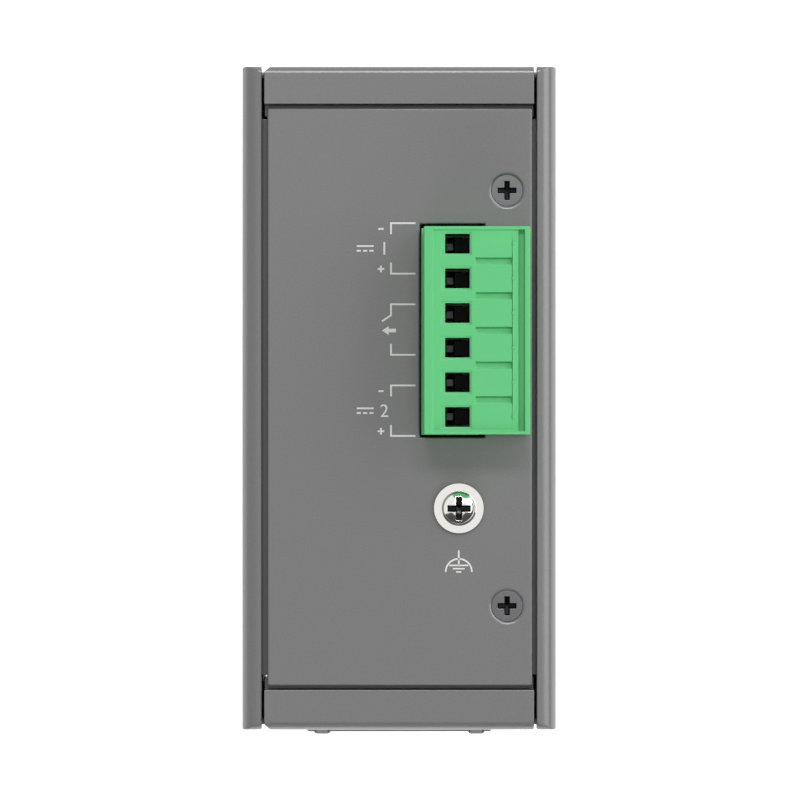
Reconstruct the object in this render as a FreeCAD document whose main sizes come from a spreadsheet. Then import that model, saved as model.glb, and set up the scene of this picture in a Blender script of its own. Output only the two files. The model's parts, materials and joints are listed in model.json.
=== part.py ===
import FreeCAD, Part
import os
import Sketcher
from FreeCAD import Placement, Rotation, Vector

# A five-port Ethernet switch in a narrow sheet-metal case that clips to a 35 mm mounting rail.
#
# Frame, in millimetres: the origin is the middle of the case's underside, +Z points up, the
# sockets face the front (-Y) and the rail clip is on the rear (+Y). +X is on the right for
# someone who looks at the sockets. The power terminal and the ground screw are on top.

doc = FreeCAD.newDocument("rail_switch")


# ---------------------------------------------------------------------------------------------
# Driving sizes
# ---------------------------------------------------------------------------------------------

SIZES = [
    # alias, millimetres, what it is
    ("case_width", 47.1, "outer width across both side covers"),
    ("case_depth", 99.2, "outer depth from the front plate to the rear plate"),
    ("case_height", 135.0, "outer height from the underside to the top plane"),
    ("sheet", 1.0, "thickness of the bent sheet of covers and end plates"),
    ("lid_sheet", 1.5, "thickness of the flat top and bottom panels"),
    ("side_bend_inside", 1.95, "inner radius of the rolled long edges"),
    ("rim_flat", 0.1, "flat width of a cover's rim beside its rolled edge"),
    ("front_bend_inside", 0.15, "inner radius of the bend from the front plate to its bands"),
    ("rear_bend_inside", 0.65, "inner radius of the bend from the rear plate to its bands"),
    ("front_band", 5.7, "depth of the bands that the front plate turns in"),
    ("rear_band", 6.1, "depth of the bands that the rear plate turns in"),
    ("seam", 0.35, "gap between a cover's rim and the end plates"),
    ("lid_gap_ends", 0.6, "gap between a lid and the bands before and behind it"),
    ("lid_gap_right", 0.8, "gap between a lid and the right cover's rim"),
    ("lid_gap_left", 0.6, "gap between a lid and the left cover's rim"),
    ("lid_edge", 0.4, "rounding of a lid's outer edges"),
    ("corner_relief", 0.9, "legs of the notch cut across the right end of each bend"),
    ("relief_depth", 8.0, "how far that notch reaches down the bend"),
    ("seat_reach", 1.2, "how far the seats round a lid reach under its edges"),
    ("seat_sheet", 1.0, "thickness of those seats"),
    ("seat_clearance", 0.3, "gap between the covers' seats and the end plates"),
    ("seam_relief", 0.5, "width of the relief in a cover's turned ends beside the seam"),
    ("seam_relief_height", 9.0, "height of that relief, from the case's top or underside"),
    ("seam_relief_gap", 0.1, "gap between that relief and the rim's sheet"),
    ("tab_offset", 31.0, "distance of the lid tabs from the middle, to the front and rear"),
    ("tab_width", 9.0, "width of a lid tab"),
    ("tab_reach", 3.6, "how far a lid tab reaches past the lid screws' line"),
    ("tab_sheet", 1.5, "thickness of a cover's seats and tabs"),
    ("tab_corner", 1.5, "corner radius of a lid tab"),
    ("lid_screw_inset", 7.45, "distance of the lid screws from the case's left side"),
    ("thread_radius", 1.45, "outer radius of the case's small screws"),
    ("thread_clearance", 0.05, "radial clearance of a thread in its tapped hole"),
    ("shank_clearance", 0.15, "radial clearance of a screw in a plain hole"),
    ("flat_head_radius", 2.35, "radius of a countersunk head"),
    ("head_recess", 0.15, "how far a countersunk head sits below its surface"),
    ("head_gap", 0.1, "radial gap between a countersunk head and its cone"),
    ("lid_screw_length", 7.0, "length of the lid screws"),
    ("cross_span", 2.9, "span of the cross recess in a screw head"),
    ("cross_arm", 0.9, "width of one arm of the cross recess"),
    ("cross_depth", 1.0, "depth of the cross recess"),
    ("ground_x", -8.9, "place of the ground screw across the case"),
    ("ground_y", 16.4, "place of the ground screw along the case"),
    ("ground_head_radius", 2.58, "radius of the ground screw's pan head"),
    ("ground_head_height", 2.0, "height of the pan head"),
    ("ground_crown", 1.2, "rounding of the pan head's edge"),
    ("ground_length", 8.0, "length of the ground screw under its head"),
    ("washer_radius", 3.7, "outer radius of the ground screw's washer"),
    ("washer_sheet", 0.5, "thickness of the washer"),
    ("clinch_radius", 2.9, "outer radius of the nut pressed under the top panel"),
    ("clinch_height", 3.2, "height of that nut"),
    ("board_face", 3.3, "distance of the board's part side from the middle, to the left"),
    ("board_sheet", 1.6, "thickness of the circuit board"),
    ("board_front", 1.6, "gap between the front of the case and the board"),
    ("board_rear", 5.6, "gap between the rear of the case and the board"),
    ("board_ends", 4.0, "gap between the board and the case above and below it"),
    ("post_front", 3.6, "distance of the front posts' line before the terminal's header"),
    ("post_rear", 9.6, "distance of the rear posts from the rear of the case"),
    ("post_end", 8.2, "distance of the posts from the top or bottom of the case"),
    ("post_flats", 5.0, "width across the flats of a hexagon post"),
    ("post_screw_length", 6.0, "length of the board screws under their heads"),
    ("pan_head_radius", 2.6, "radius of a board screw's head"),
    ("pan_head_height", 1.8, "height of a board screw's head"),
    ("poles", 6, "number of poles of the power terminal"),
    ("pitch", 5.08, "distance between two poles"),
    ("terminal_y", -9.95, "place of the terminal's middle along the case"),
    ("header_height", 8.6, "height of the header above the board"),
    ("header_ends", 0.21, "how far the header reaches past the plug at each end"),
    ("header_depth", 12.0, "depth of the header from its mouth to its rear"),
    ("header_wall", 1.0, "wall round the header's socket"),
    ("header_floor", 3.0, "thickness of the header's floor"),
    ("header_recess", 0.3, "how far the header's mouth lies under the top plane"),
    ("cutout_front_gap", 0.6, "gap between the header and the front of its cut-out"),
    ("cutout_rear_gap", 0.3, "gap between the header and the rear of its cut-out"),
    ("cutout_near_gap", 0.2, "gap on the cut-out's right side"),
    ("cutout_far_gap", 0.9, "gap on the cut-out's left side"),
    ("pin_size", 1.0, "side of a square header pin"),
    ("pin_gap", 0.1, "gap round a pin in the header and the board"),
    ("pin_line", 4.3, "height of the pins above the board"),
    ("pin_top", 2.2, "how far the pin tips lie under the header's mouth"),
    ("pin_leg", 1.3, "how far a pin's leg lies under the header's rear"),
    ("pin_tail", 1.0, "length of a pin's leg past the board"),
    ("plug_near", 3.64, "distance of the plug's near side from the middle, to the left"),
    ("plug_rise", 8.5, "height of the plug above its seat"),
    ("plug_lift", 0.4, "gap between the top plane and the plug's seat"),
    ("plug_fit", 0.2, "gap between the plug's tongue and the header's socket"),
    ("tongue_depth", 8.2, "how far the plug's tongue reaches under its seat"),
    ("mouth_near", 3.1, "distance of a wire mouth from the plug's near side"),
    ("mouth_width", 3.6, "size of a wire mouth across the case"),
    ("mouth_length", 2.9, "size of a wire mouth along the case"),
    ("cage_near", 1.9, "distance of an open cage from the plug's near side"),
    ("cage_wall", 1.0, "wall of the cage across its travel"),
    ("cage_cheek", 0.5, "side wall of the cage"),
    ("cage_length", 7.9, "outer length of the cage along its travel"),
    ("cage_width", 4.0, "outer width of the cage"),
    ("cage_height", 5.4, "height of the cage"),
    ("cage_fit", 0.3, "gap between a cage and its chamber"),
    ("cage_travel", 3.0, "travel of a cage from open to closed"),
    ("clamp_line", 4.2, "height of the clamp screws above the plug's seat"),
    ("clamp_thread", 1.45, "outer radius of a clamp screw's thread"),
    ("clamp_head_radius", 1.9, "radius of a clamp screw's head"),
    ("clamp_head_height", 1.8, "height of a clamp screw's head"),
    ("clamp_head_gap", 0.2, "gap between an open cage's travel and a clamp screw's head"),
    ("clamp_head_sunk", 0.75, "how far a clamp screw's head lies inside the plug's far side"),
    ("clamp_bore_gap", 0.2, "radial gap between a clamp screw's head and its bore"),
    ("clamp_tip_gap", 0.2, "gap between a clamp screw's tip and the contact bar"),
    ("slot_width", 0.6, "width of the slot in a clamp screw's head"),
    ("slot_depth", 0.8, "depth of that slot"),
    ("bar_sheet", 0.7, "thickness of a contact bar"),
    ("bar_width", 2.2, "width of a contact bar"),
    ("bar_step", 0.2, "step of a contact bar behind the wire mouth's edge"),
    ("bar_gap", 0.15, "gap between a contact bar and what it passes or slides on"),
    ("bar_seat", 0.05, "gap between a contact bar and the chamber's floor"),
    ("bar_short", 1.0, "how far a contact bar stops inside the plug's tongue"),
    ("pin_room", 0.4, "room beside a header pin in the plug's tongue"),
    ("spring_room", 0.6, "room for a contact bar to spring back from the pin"),
    ("groove_start", 2.7, "distance of the grooves between the poles from the far side"),
    ("groove_length", 5.3, "length of those grooves"),
    ("groove_width", 1.0, "width of those grooves"),
    ("groove_depth", 0.5, "depth of those grooves"),
    ("face_step", 0.35, "depth of the field that the rim frames on the plug's face"),
    ("face_rim", 0.8, "width of the rim on the face's far side"),
    ("face_rim_near", 1.3, "width of the rim on the face's near side"),
    ("face_rim_ends", 0.45, "width of the rim at the face's two ends"),
    ("channel_width", 0.85, "width of the channel along the far rim"),
    ("channel_depth", 0.8, "depth of that channel under the face's field"),
    ("channel_slope", 1.0, "width of the sloping strip beside the channel"),
    ("channel_drop", 0.2, "depth of that strip where it meets the channel"),
    ("funnel_width", 0.6, "how far a wire mouth's lead-in reaches past the mouth"),
    ("funnel_ends", 0.25, "how far that lead-in reaches past the mouth along the case"),
    ("funnel_depth", 0.2, "depth of that lead-in"),
    ("ports", 5, "number of sockets"),
    ("port_space", 2.3, "space between two sockets"),
    ("port_first", 22.0, "height of the lowest socket's middle"),
    ("port_width", 15.9, "outer width of a socket, along the column"),
    ("port_height", 13.4, "outer height of a socket above the board"),
    ("port_depth", 21.3, "depth of a socket with its transformers"),
    ("port_recess", 0.1, "how far a socket's face lies behind the front plate"),
    ("port_gap", 0.3, "gap between a socket and its window"),
    ("shield_sheet", 0.3, "thickness of a socket's metal shield"),
    ("shield_lip", 1.2, "how far the shield turns in over the socket's face"),
    ("insert_fit", 0.05, "gap between a socket's shield and its insert"),
    ("insert_foot", 0.1, "gap between a socket's insert and the board"),
    ("mouth_span", 11.8, "width of a socket's mouth"),
    ("mouth_tall", 6.9, "height of a socket's mouth"),
    ("mouth_depth", 12.0, "depth of a socket's mouth"),
    ("mouth_top_wall", 2.4, "wall between a socket's mouth and its far side"),
    ("latch_span", 6.3, "width of the upper step of the latch slot"),
    ("latch_step", 1.4, "height of that step"),
    ("latch_slot_span", 3.4, "width of the lower step of the latch slot"),
    ("latch_slot_step", 1.2, "height of that lower step"),
    ("contact_pitch", 1.02, "distance between two contacts of a socket"),
    ("contact_width", 0.45, "width of one contact"),
    ("contact_sheet", 0.35, "thickness of one contact"),
    ("contact_count", 8, "number of contacts of a socket"),
    ("contact_seat", 0.05, "gap between a contact's bend and the mouth's wall"),
    ("contact_drop", 2.2, "how far a contact reaches into the mouth"),
    ("contact_front", 2.2, "distance of a contact's bend from the socket's face"),
    ("contact_run", 7.0, "length of a contact's sloping run"),
    ("lamp_line", 0.9, "place of the lamp column across the case"),
    ("lamp_width", 2.0, "size of a light pipe's finger across the case"),
    ("lamp_tall", 1.5, "size of that finger along the column of lamps"),
    ("lamp_gap", 0.1, "gap between a finger and its hole"),
    ("lamp_offset", 4.0, "distance of a socket's two lamps from its middle"),
    ("lamp_bar_setback", 3.1, "distance of the light pipe's bar from the front plane"),
    ("lamp_bar_depth", 2.0, "depth of that bar"),
    ("lamp_bar_edge", 0.5, "how far that bar reaches past the fingers towards the right"),
    ("lamp_bar_ends", 3.0, "how far that bar reaches past the first and the last finger"),
    ("status_count", 3, "number of status lamps above the sockets"),
    ("status_pitch", 5.0, "distance between two status lamps"),
    ("chip_lamp_width", 1.8, "width of a lamp on the board"),
    ("chip_lamp_height", 2.0, "height of a lamp above the board"),
    ("chip_lamp_depth", 1.6, "depth of a lamp"),
    ("chip_lamp_gap", 0.2, "gap between a lamp and the light pipe"),
    ("solder_gap", 0.05, "gap under a lamp on the board"),
    ("chip_side", 16.0, "side of the switch chip"),
    ("chip_height", 1.4, "height of the switch chip"),
    ("chip_y", 4.0, "place of the switch chip along the case"),
    ("chip_below", 5.5, "distance of the switch chip below the board's middle"),
    ("sink_edge", 3.0, "how far the heat sink reaches past the chip"),
    ("sink_base", 1.6, "thickness of the heat sink's base"),
    ("fin_count", 7, "number of the heat sink's fins"),
    ("fin_height", 8.0, "height of a fin"),
    ("fin_sheet", 1.0, "thickness of a fin"),
    ("can_radius", 5.0, "radius of a capacitor can"),
    ("can_length", 13.0, "length of a capacitor can"),
    ("can_edge", 0.5, "bevel of a can's upper edge"),
    ("can_y", 24.0, "place of the capacitors along the case"),
    ("can_below", 26.7, "distance of the upper capacitor's middle below the header"),
    ("can_space", 2.0, "space between the two capacitors"),
    ("coil_side", 10.0, "side of the power inductor"),
    ("coil_height", 5.0, "height of the power inductor"),
    ("coil_corner", 2.0, "corner radius of the power inductor"),
    ("coil_y", -7.0, "place of the power inductor along the case"),
    ("core_depth", 16.0, "depth of the power transformer's core"),
    ("core_width", 13.0, "width of that core, along the board's height"),
    ("core_height", 11.0, "height of that core above the board"),
    ("core_y", 12.0, "place of the power transformer along the case"),
    ("core_below", 8.7, "distance of the power parts below the header"),
    ("core_leg", 3.0, "width of the core's outer legs"),
    ("core_yoke", 2.0, "width of the core's yokes"),
    ("window_depth", 4.0, "depth of the core's open window"),
    ("relay_depth", 15.0, "depth of the fault relay"),
    ("relay_width", 7.5, "width of the fault relay, along the board's height"),
    ("relay_height", 10.0, "height of the fault relay above the board"),
    ("relay_y", 9.5, "place of the fault relay along the case"),
    ("relay_space", 3.5, "space between the fault relay and the transformer above it"),
    ("rail_height", 35.0, "height of the mounting rail"),
    ("rail_sheet", 1.0, "thickness of the mounting rail"),
    ("rail_middle", 60.0, "height of the rail's middle above the underside"),
    ("rail_play", 0.5, "play of the rail in the clip"),
    ("clip_width", 30.5, "width of the rail clip"),
    ("clip_sheet", 2.5, "thickness of the clip's base plate"),
    ("clip_top", 8.5, "height of the clip's plate above the rail"),
    ("clip_bottom", 22.0, "length of the clip's plate below the rail"),
    ("hook_bar", 5.0, "height of the hook bar above the rail"),
    ("hook_bite", 2.2, "how far the hook reaches down behind the rail"),
    ("hook_sheet", 1.6, "thickness of the hook's lip"),
    ("hook_slope", 3.0, "rise of the ribs' sloping upper ends"),
    ("rib_offset", 12.75, "distance of the hook's ribs from the middle"),
    ("rib_width", 2.4, "width of a rib"),
    ("rib_proud", 0.4, "how far a rib stands past the hook's lip"),
    ("latch_width", 14.0, "width of the sliding latch"),
    ("latch_sheet", 3.4, "thickness of the sliding latch"),
    ("latch_fit", 0.3, "gap round the sliding latch"),
    ("nose_height", 1.2, "height of the bevel on the latch's nose"),
    ("nose_bevel", 1.0, "depth of that bevel"),
    ("latch_tail", 35.5, "length of the latch below the rail"),
    ("nose_bite", 2.5, "how far the latch reaches up behind the rail"),
    ("guide_wall", 1.8, "wall of the latch guide"),
    ("guide_top", 4.0, "distance of the guide's upper end below the rail"),
    ("guide_length", 14.0, "length of the latch guide"),
    ("spring_radius", 1.3, "mean radius of the latch spring"),
    ("spring_wire", 0.3, "radius of the spring's wire"),
    ("spring_length", 11.0, "length of the spring with the latch up"),
    ("spring_turns", 4, "number of turns of the spring"),
    ("spring_top", 8.5, "distance of the spring's upper end below the rail"),
    ("stop_height", 2.0, "height of the stop under the spring"),
    ("stop_fit", 0.3, "gap between that stop and the latch's window"),
    ("spring_fit", 0.4, "gap between the spring and the latch's window"),
    ("clip_screw_offset", 10.0, "distance of the clip's upper screws from the middle"),
    ("clip_screw_up", 6.0, "height of the clip's upper screws above the rail's middle"),
    ("clip_screw_down", 12.0, "distance of the clip's lower screw below the rail's middle"),
    ("eye_width", 7.0, "width of the slot in the latch's tail"),
    ("eye_height", 1.8, "height of that slot"),
    ("eye_edge", 2.2, "distance of that slot from the latch's lower end"),
]

sheet = doc.addObject("Spreadsheet::Sheet", "sizes")
for row, (alias, number, meaning) in enumerate(SIZES, start=1):
    sheet.set(f"A{row}", alias)
    sheet.set(f"B{row}", str(number))
    sheet.set(f"C{row}", meaning)
    sheet.setAlias(f"B{row}", alias)
doc.recompute()


class Size:
    """A length: its number now, and the formula that binds it to the sheet."""

    def __init__(self, number, formula):
        self.number = float(number)
        self.formula = formula

    def __add__(self, other):
        other = size(other)
        return Size(self.number + other.number, f"({self.formula} + {other.formula})")

    def __sub__(self, other):
        other = size(other)
        return Size(self.number - other.number, f"({self.formula} - {other.formula})")

    def __mul__(self, other):
        other = size(other)
        return Size(self.number * other.number, f"({self.formula} * {other.formula})")

    def __truediv__(self, other):
        other = size(other)
        return Size(self.number / other.number, f"({self.formula} / {other.formula})")

    def __radd__(self, other):
        return size(other) + self

    def __rsub__(self, other):
        return size(other) - self

    def __rmul__(self, other):
        return size(other) * self

    def __neg__(self):
        return size(-1) * self


def size(value):
    """The value as a Size: plain numbers become constant formulas."""
    return value if isinstance(value, Size) else Size(value, f"({float(value)})")


class Sheet:
    """Each alias of the spreadsheet as a Size."""


s = Sheet()
for alias, number, _ in SIZES:
    setattr(s, alias, Size(number, f"sizes.{alias}"))


# ---------------------------------------------------------------------------------------------
# Modelling helpers
# ---------------------------------------------------------------------------------------------

CLOSE = 1e-6  # two lengths this near are the same
PLANES = {"x": "YZ_Plane", "y": "XZ_Plane", "z": "XY_Plane"}
AXES = {"x": "X_Axis", "y": "Y_Axis", "z": "Z_Axis"}
parts = []


def bind(item, name, value):
    """Give a property its number and the formula behind it."""
    value = size(value)
    if "." not in name:
        setattr(item, name, value.number)
    item.setExpression(name, value.formula)


def new_body(label):
    """An empty body with its label, kept in the list of sub-parts."""
    body = doc.addObject("PartDesign::Body", label)
    body.Label = label
    body.AllowCompound = True
    parts.append(body)
    return body


def origin_feature(body, role):
    """One of a body's own origin planes or axes."""
    return next(f for f in body.Origin.OriginFeatures if f.Role == role)


def circle(x, y, radius):
    """A round outline for a sketch."""
    return ("circle", size(x), size(y), size(radius))


def rectangle(x0, x1, y0, y1):
    """A straight-sided outline between two pairs of coordinates."""
    return [(x0, y0), (x1, y0), (x1, y1), (x0, y1)]


def rounded(x, y, before, after, radius):
    """An axis-aligned corner as an arc: its start, its end and its middle."""

    def step(here, there):
        across = there[0].number - here[0].number
        along = there[1].number - here[1].number
        if abs(across) > abs(along):
            return (1 if across > 0 else -1), 0
        return 0, (1 if along > 0 else -1)

    into, out = step(before, (x, y)), step((x, y), after)
    start = (x - radius * into[0], y - radius * into[1])
    end = (x + radius * out[0], y + radius * out[1])
    middle = (start[0] + radius * out[0], start[1] + radius * out[1])
    turns_left = into[0] * out[1] - into[1] * out[0] > 0
    return start, end, middle, turns_left


def draw_circle(sketch, outline, rules, formulas):
    """Add a circle held by its centre and radius."""
    _, x, y, radius = outline
    centre = Vector(x.number, y.number, 0)
    edge = sketch.addGeometry(Part.Circle(centre, Vector(0, 0, 1), radius.number))
    for kind, value in (("DistanceX", x), ("DistanceY", y)):
        rules.append(Sketcher.Constraint(kind, -1, 1, edge, 3, value.number))
        formulas.append((len(rules) - 1, value))
    rules.append(Sketcher.Constraint("Radius", edge, radius.number))
    formulas.append((len(rules) - 1, radius))


def draw_outline(sketch, outline, rules, formulas):
    """Add a closed outline of corners (x, y), or (x, y, radius) where the corner is rounded."""
    corners = [tuple(size(v) for v in corner) for corner in outline]
    stops = []  # per corner: where the run before it ends, and where the next one starts
    arcs = {}
    for i, corner in enumerate(corners):
        if len(corner) == 2:
            stops.append((corner, corner))
            continue
        before, after = corners[i - 1], corners[(i + 1) % len(corners)]
        start, end, middle, left = rounded(corner[0], corner[1], before, after, corner[2])
        arcs[i] = (start, end, middle, left, corner[2])
        stops.append((start, end))

    def hold(edge, end, point):
        for kind, value in (("DistanceX", point[0]), ("DistanceY", point[1])):
            rules.append(Sketcher.Constraint(kind, -1, 1, edge, end, value.number))
            formulas.append((len(rules) - 1, value))

    pieces = []  # (edge, its first end, its last end), in order round the outline
    for i in range(len(corners)):
        if i in arcs:
            start, end, middle, left, radius = arcs[i]
            centre = Vector(middle[0].number, middle[1].number, 0)
            first, last = (start, end) if left else (end, start)
            base = Part.Circle(centre, Vector(0, 0, 1), radius.number)
            low = base.parameter(Vector(first[0].number, first[1].number, 0))
            high = base.parameter(Vector(last[0].number, last[1].number, 0))
            edge = sketch.addGeometry(Part.ArcOfCircle(base, low, high))
            pieces.append((edge, 1 if left else 2, 2 if left else 1))
            hold(edge, pieces[-1][1], start)
            rules.append(Sketcher.Constraint("DistanceX", -1, 1, edge, 3, middle[0].number))
            formulas.append((len(rules) - 1, middle[0]))
        here, there = stops[i][1], stops[(i + 1) % len(corners)][0]
        a = Vector(here[0].number, here[1].number, 0)
        b = Vector(there[0].number, there[1].number, 0)
        edge = sketch.addGeometry(Part.LineSegment(a, b))
        pieces.append((edge, 1, 2))
        hold(edge, 1, here)
    for (edge, _, last), (following, first, _) in zip(pieces, pieces[1:] + pieces[:1]):
        rules.append(Sketcher.Constraint("Coincident", edge, last, following, first))


def new_sketch(body, name, axis, level, outlines):
    """A sketch across an axis of the body, at a level along it."""
    sketch = body.newObject("Sketcher::SketchObject", f"{body.Label}_{name}_sketch")
    sketch.AttachmentSupport = [(origin_feature(body, PLANES[axis]), "")]
    sketch.MapMode = "FlatFace"
    offset = -size(level) if axis == "y" else size(level)
    sketch.AttachmentOffset = Placement(Vector(0, 0, offset.number), Rotation())
    sketch.setExpression("AttachmentOffset.Base.z", offset.formula)
    rules, formulas = [], []
    for outline in outlines:
        draw = draw_circle if outline[0] == "circle" else draw_outline
        draw(sketch, outline, rules, formulas)
    sketch.addConstraint(rules)
    for index, value in formulas:
        sketch.setExpression(f"Constraints[{index}]", value.formula)
    return sketch


def add(body, name, axis, low, high, *outlines):
    """Pad outlines from low to high along an axis."""
    sketch = new_sketch(body, name, axis, high if axis == "y" else low, outlines)
    pad = body.newObject("PartDesign::Pad", f"{body.Label}_{name}")
    pad.Profile = sketch
    bind(pad, "Length", size(high) - low)
    return pad


def cut(body, name, axis, low, high, *outlines):
    """Pocket outlines from low to high along an axis."""
    sketch = new_sketch(body, name, axis, low if axis == "y" else high, outlines)
    pocket = body.newObject("PartDesign::Pocket", f"{body.Label}_{name}")
    pocket.Profile = sketch
    bind(pocket, "Length", size(high) - low)
    return pocket


def turn(body, name, profile):
    """Revolve a half profile of (radius, height) corners round the body's own Z axis."""
    sketch = new_sketch(body, name, "y", 0, [profile])
    spin = body.newObject("PartDesign::Revolution", f"{body.Label}_{name}")
    spin.Profile = sketch
    spin.ReferenceAxis = (origin_feature(body, "Z_Axis"), [""])
    spin.Angle = 360
    return spin


def repeat(body, name, features, axis, count, spacing, backwards=False):
    """Repeat features along an axis, the first where they already are."""
    pattern = body.newObject("PartDesign::LinearPattern", f"{body.Label}_{name}")
    pattern.Originals = features
    pattern.Direction = (origin_feature(body, AXES[axis]), [""])
    pattern.Reversed = backwards
    bind(pattern, "Length", (size(count) - 1) * spacing)
    pattern.Occurrences = int(size(count).number)
    pattern.setExpression("Occurrences", size(count).formula)
    body.Tip = pattern
    return pattern


def round_edges(body, name, radius, wanted):
    """Fillet the edges of the body's tip whose middle point passes a test."""
    doc.recompute()
    tip = body.Tip
    names = []
    for number, edge in enumerate(tip.Shape.Edges, start=1):
        middle = edge.valueAt((edge.FirstParameter + edge.LastParameter) / 2)
        if wanted(middle):
            names.append(f"Edge{number}")
    if not names:
        raise RuntimeError(f"{body.Label}: no edge for {name}")
    fillet = body.newObject("PartDesign::Fillet", f"{body.Label}_{name}")
    fillet.Base = (tip, names)
    bind(fillet, "Radius", radius)
    return fillet


def place(item, x=0, y=0, z=0, rotation=None):
    """Put an item at a point, with an optional rotation about that point."""
    point = [size(v) for v in (x, y, z)]
    item.Placement = Placement(Vector(*[v.number for v in point]), rotation or Rotation())
    for axis, value in zip("xyz", point):
        item.setExpression(f"Placement.Base.{axis}", value.formula)


def group(label, pattern, spots, rotation=None):
    """One sub-part of separate, equal solids: a compound of links to a pattern body."""
    links = []
    for number, (x, y, z) in enumerate(spots, start=1):
        link = doc.addObject("App::Link", f"{label}_{number}")
        link.LinkedObject = pattern
        place(link, x, y, z, rotation)
        links.append(link)
    whole = doc.addObject("Part::Compound", label)
    whole.Label = label
    whole.Links = links
    parts.append(whole)
    return whole


def pattern_body(label):
    """A body that is only copied by a group, and isn't a sub-part itself."""
    body = new_body(label)
    parts.remove(body)
    return body


def cut_cross(body, top):
    """Sink a cross recess into a screw head whose top lies at a height."""
    half, arm = s.cross_span / 2, s.cross_arm / 2
    cross = [
        (arm, arm), (half, arm), (half, -arm), (arm, -arm), (arm, -half), (-arm, -half),
        (-arm, -arm), (-half, -arm), (-half, arm), (-arm, arm), (-arm, half), (arm, half),
    ]
    cut(body, "cross", "z", top - s.cross_depth, top, cross)


# ---------------------------------------------------------------------------------------------
# Places worked out from the sizes
# ---------------------------------------------------------------------------------------------

half_width = s.case_width / 2
half_depth = s.case_depth / 2
top = s.case_height
side_bend = s.side_bend_inside + s.sheet
front_bend = s.front_bend_inside + s.sheet
rear_bend = s.rear_bend_inside + s.sheet
rim_edge = half_width - side_bend - s.rim_flat  # inner edge of a cover's rim
plate_end = rim_edge - s.seam  # side end of the front and rear plates
wall_face = half_width - s.sheet  # inner face of a cover's plate
tapped = s.thread_radius + s.thread_clearance
plain_hole = s.thread_radius + s.shank_clearance
seat_edge = rim_edge - s.lid_gap_right - s.seat_reach  # inner edge of a cover's seats
seat_front = -(half_depth - s.front_band - s.lid_gap_ends - s.seat_reach)
seat_rear = half_depth - s.rear_band - s.lid_gap_ends - s.seat_reach
lid_screw_x = -(half_width - s.lid_screw_inset)
cone_radius = s.flat_head_radius + s.head_recess + s.head_gap  # countersink at the surface
PAST = 2  # how far a cutting outline reaches past what it cuts


# ---------------------------------------------------------------------------------------------
# Case
# ---------------------------------------------------------------------------------------------


def side_cover(label, side, with_threads):
    """A shallow pan: its long edges roll over into rims, its ends are mitred into the bends."""
    body = new_body(label)
    outer, inner = side * half_width, side * rim_edge
    add(
        body, "rolled", "y", -half_depth, half_depth,
        [(inner, 0), (outer, 0, side_bend), (outer, top, side_bend), (inner, top)],
    )
    low, high = (inner, outer) if side > 0 else (outer, inner)
    frame = rectangle(-half_depth - PAST, half_depth + PAST, -PAST, top + PAST)
    kept = [
        (-half_depth, 0, front_bend), (half_depth, 0, rear_bend),
        (half_depth, top, rear_bend), (-half_depth, top, front_bend),
    ]
    cut(body, "ends", "x", low, high, frame, kept)
    face, open_side = side * wall_face, side * (rim_edge - PAST)
    bend = s.side_bend_inside
    cut(
        body, "hollow", "y", -half_depth + s.sheet, half_depth - s.sheet,
        [(open_side, s.sheet), (face, s.sheet, bend), (face, top - s.sheet, bend),
         (open_side, top - s.sheet)],
    )
    room = rim_edge + s.seam_relief
    for end, low, high in (
        ("top", top - s.seam_relief_height, top - s.sheet - s.seam_relief_gap),
        ("bottom", s.sheet + s.seam_relief_gap, s.seam_relief_height),
    ):
        slot = (side * room, inner) if side < 0 else (inner, side * room)
        cut(
            body, f"{end}_relief", "y", -half_depth - PAST, half_depth + PAST,
            rectangle(*slot, low, high),
        )
    reach = -side * (lid_screw_x + s.tab_reach)
    seat = side * seat_edge
    front, rear = seat_front + s.seat_clearance, seat_rear - s.seat_clearance
    corner, half = s.tab_corner, s.tab_width / 2
    seats = [(face, front), (seat, front)]
    for middle in (-s.tab_offset, s.tab_offset):
        seats += [
            (seat, middle - half), (reach, middle - half, corner),
            (reach, middle + half, corner), (seat, middle + half),
        ]
    seats += [(seat, rear), (face, rear)]
    for end, low, high in (
        ("top", top - s.lid_sheet - s.tab_sheet, top - s.lid_sheet),
        ("bottom", s.lid_sheet, s.lid_sheet + s.tab_sheet),
    ):
        add(body, f"{end}_seats", "z", low, high, seats)
        if with_threads:
            holes = [circle(lid_screw_x, y, tapped) for y in (-s.tab_offset, s.tab_offset)]
            cut(body, f"{end}_threads", "z", low, high, *holes)
    return body


def end_plate(label, side, band, inner_bend):
    """The front or rear plate, with a band turned in at its top and at its bottom."""
    body = new_body(label)
    bend = inner_bend + s.sheet
    face, back = side * half_depth, side * (half_depth - s.sheet)
    edge = side * (half_depth - band)
    step, seat = edge + side * s.sheet, seat_front if side < 0 else seat_rear
    seat_top, seat_low = top - s.lid_sheet, top - s.lid_sheet - s.seat_sheet
    add(
        body, "bent", "x", -plate_end, plate_end,
        [(edge, 0), (face, 0, bend), (face, top, bend), (edge, top),
         (edge, seat_top), (seat, seat_top), (seat, seat_low), (step, seat_low),
         (step, top - s.sheet), (back, top - s.sheet, inner_bend),
         (back, s.sheet, inner_bend), (step, s.sheet), (step, top - seat_low),
         (seat, top - seat_low), (seat, s.lid_sheet), (edge, s.lid_sheet)],
    )
    past_face, past_end = face + side * PAST, plate_end + PAST
    notch_x, notch_y = plate_end - s.corner_relief, face - side * s.corner_relief
    notch = [
        (notch_x, past_face), (notch_x, face), (plate_end, notch_y), (past_end, notch_y),
        (past_end, past_face),
    ]
    cut(body, "top_relief", "z", top - s.relief_depth, top, notch)
    cut(body, "bottom_relief", "z", 0, s.relief_depth, notch)
    return body


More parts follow.
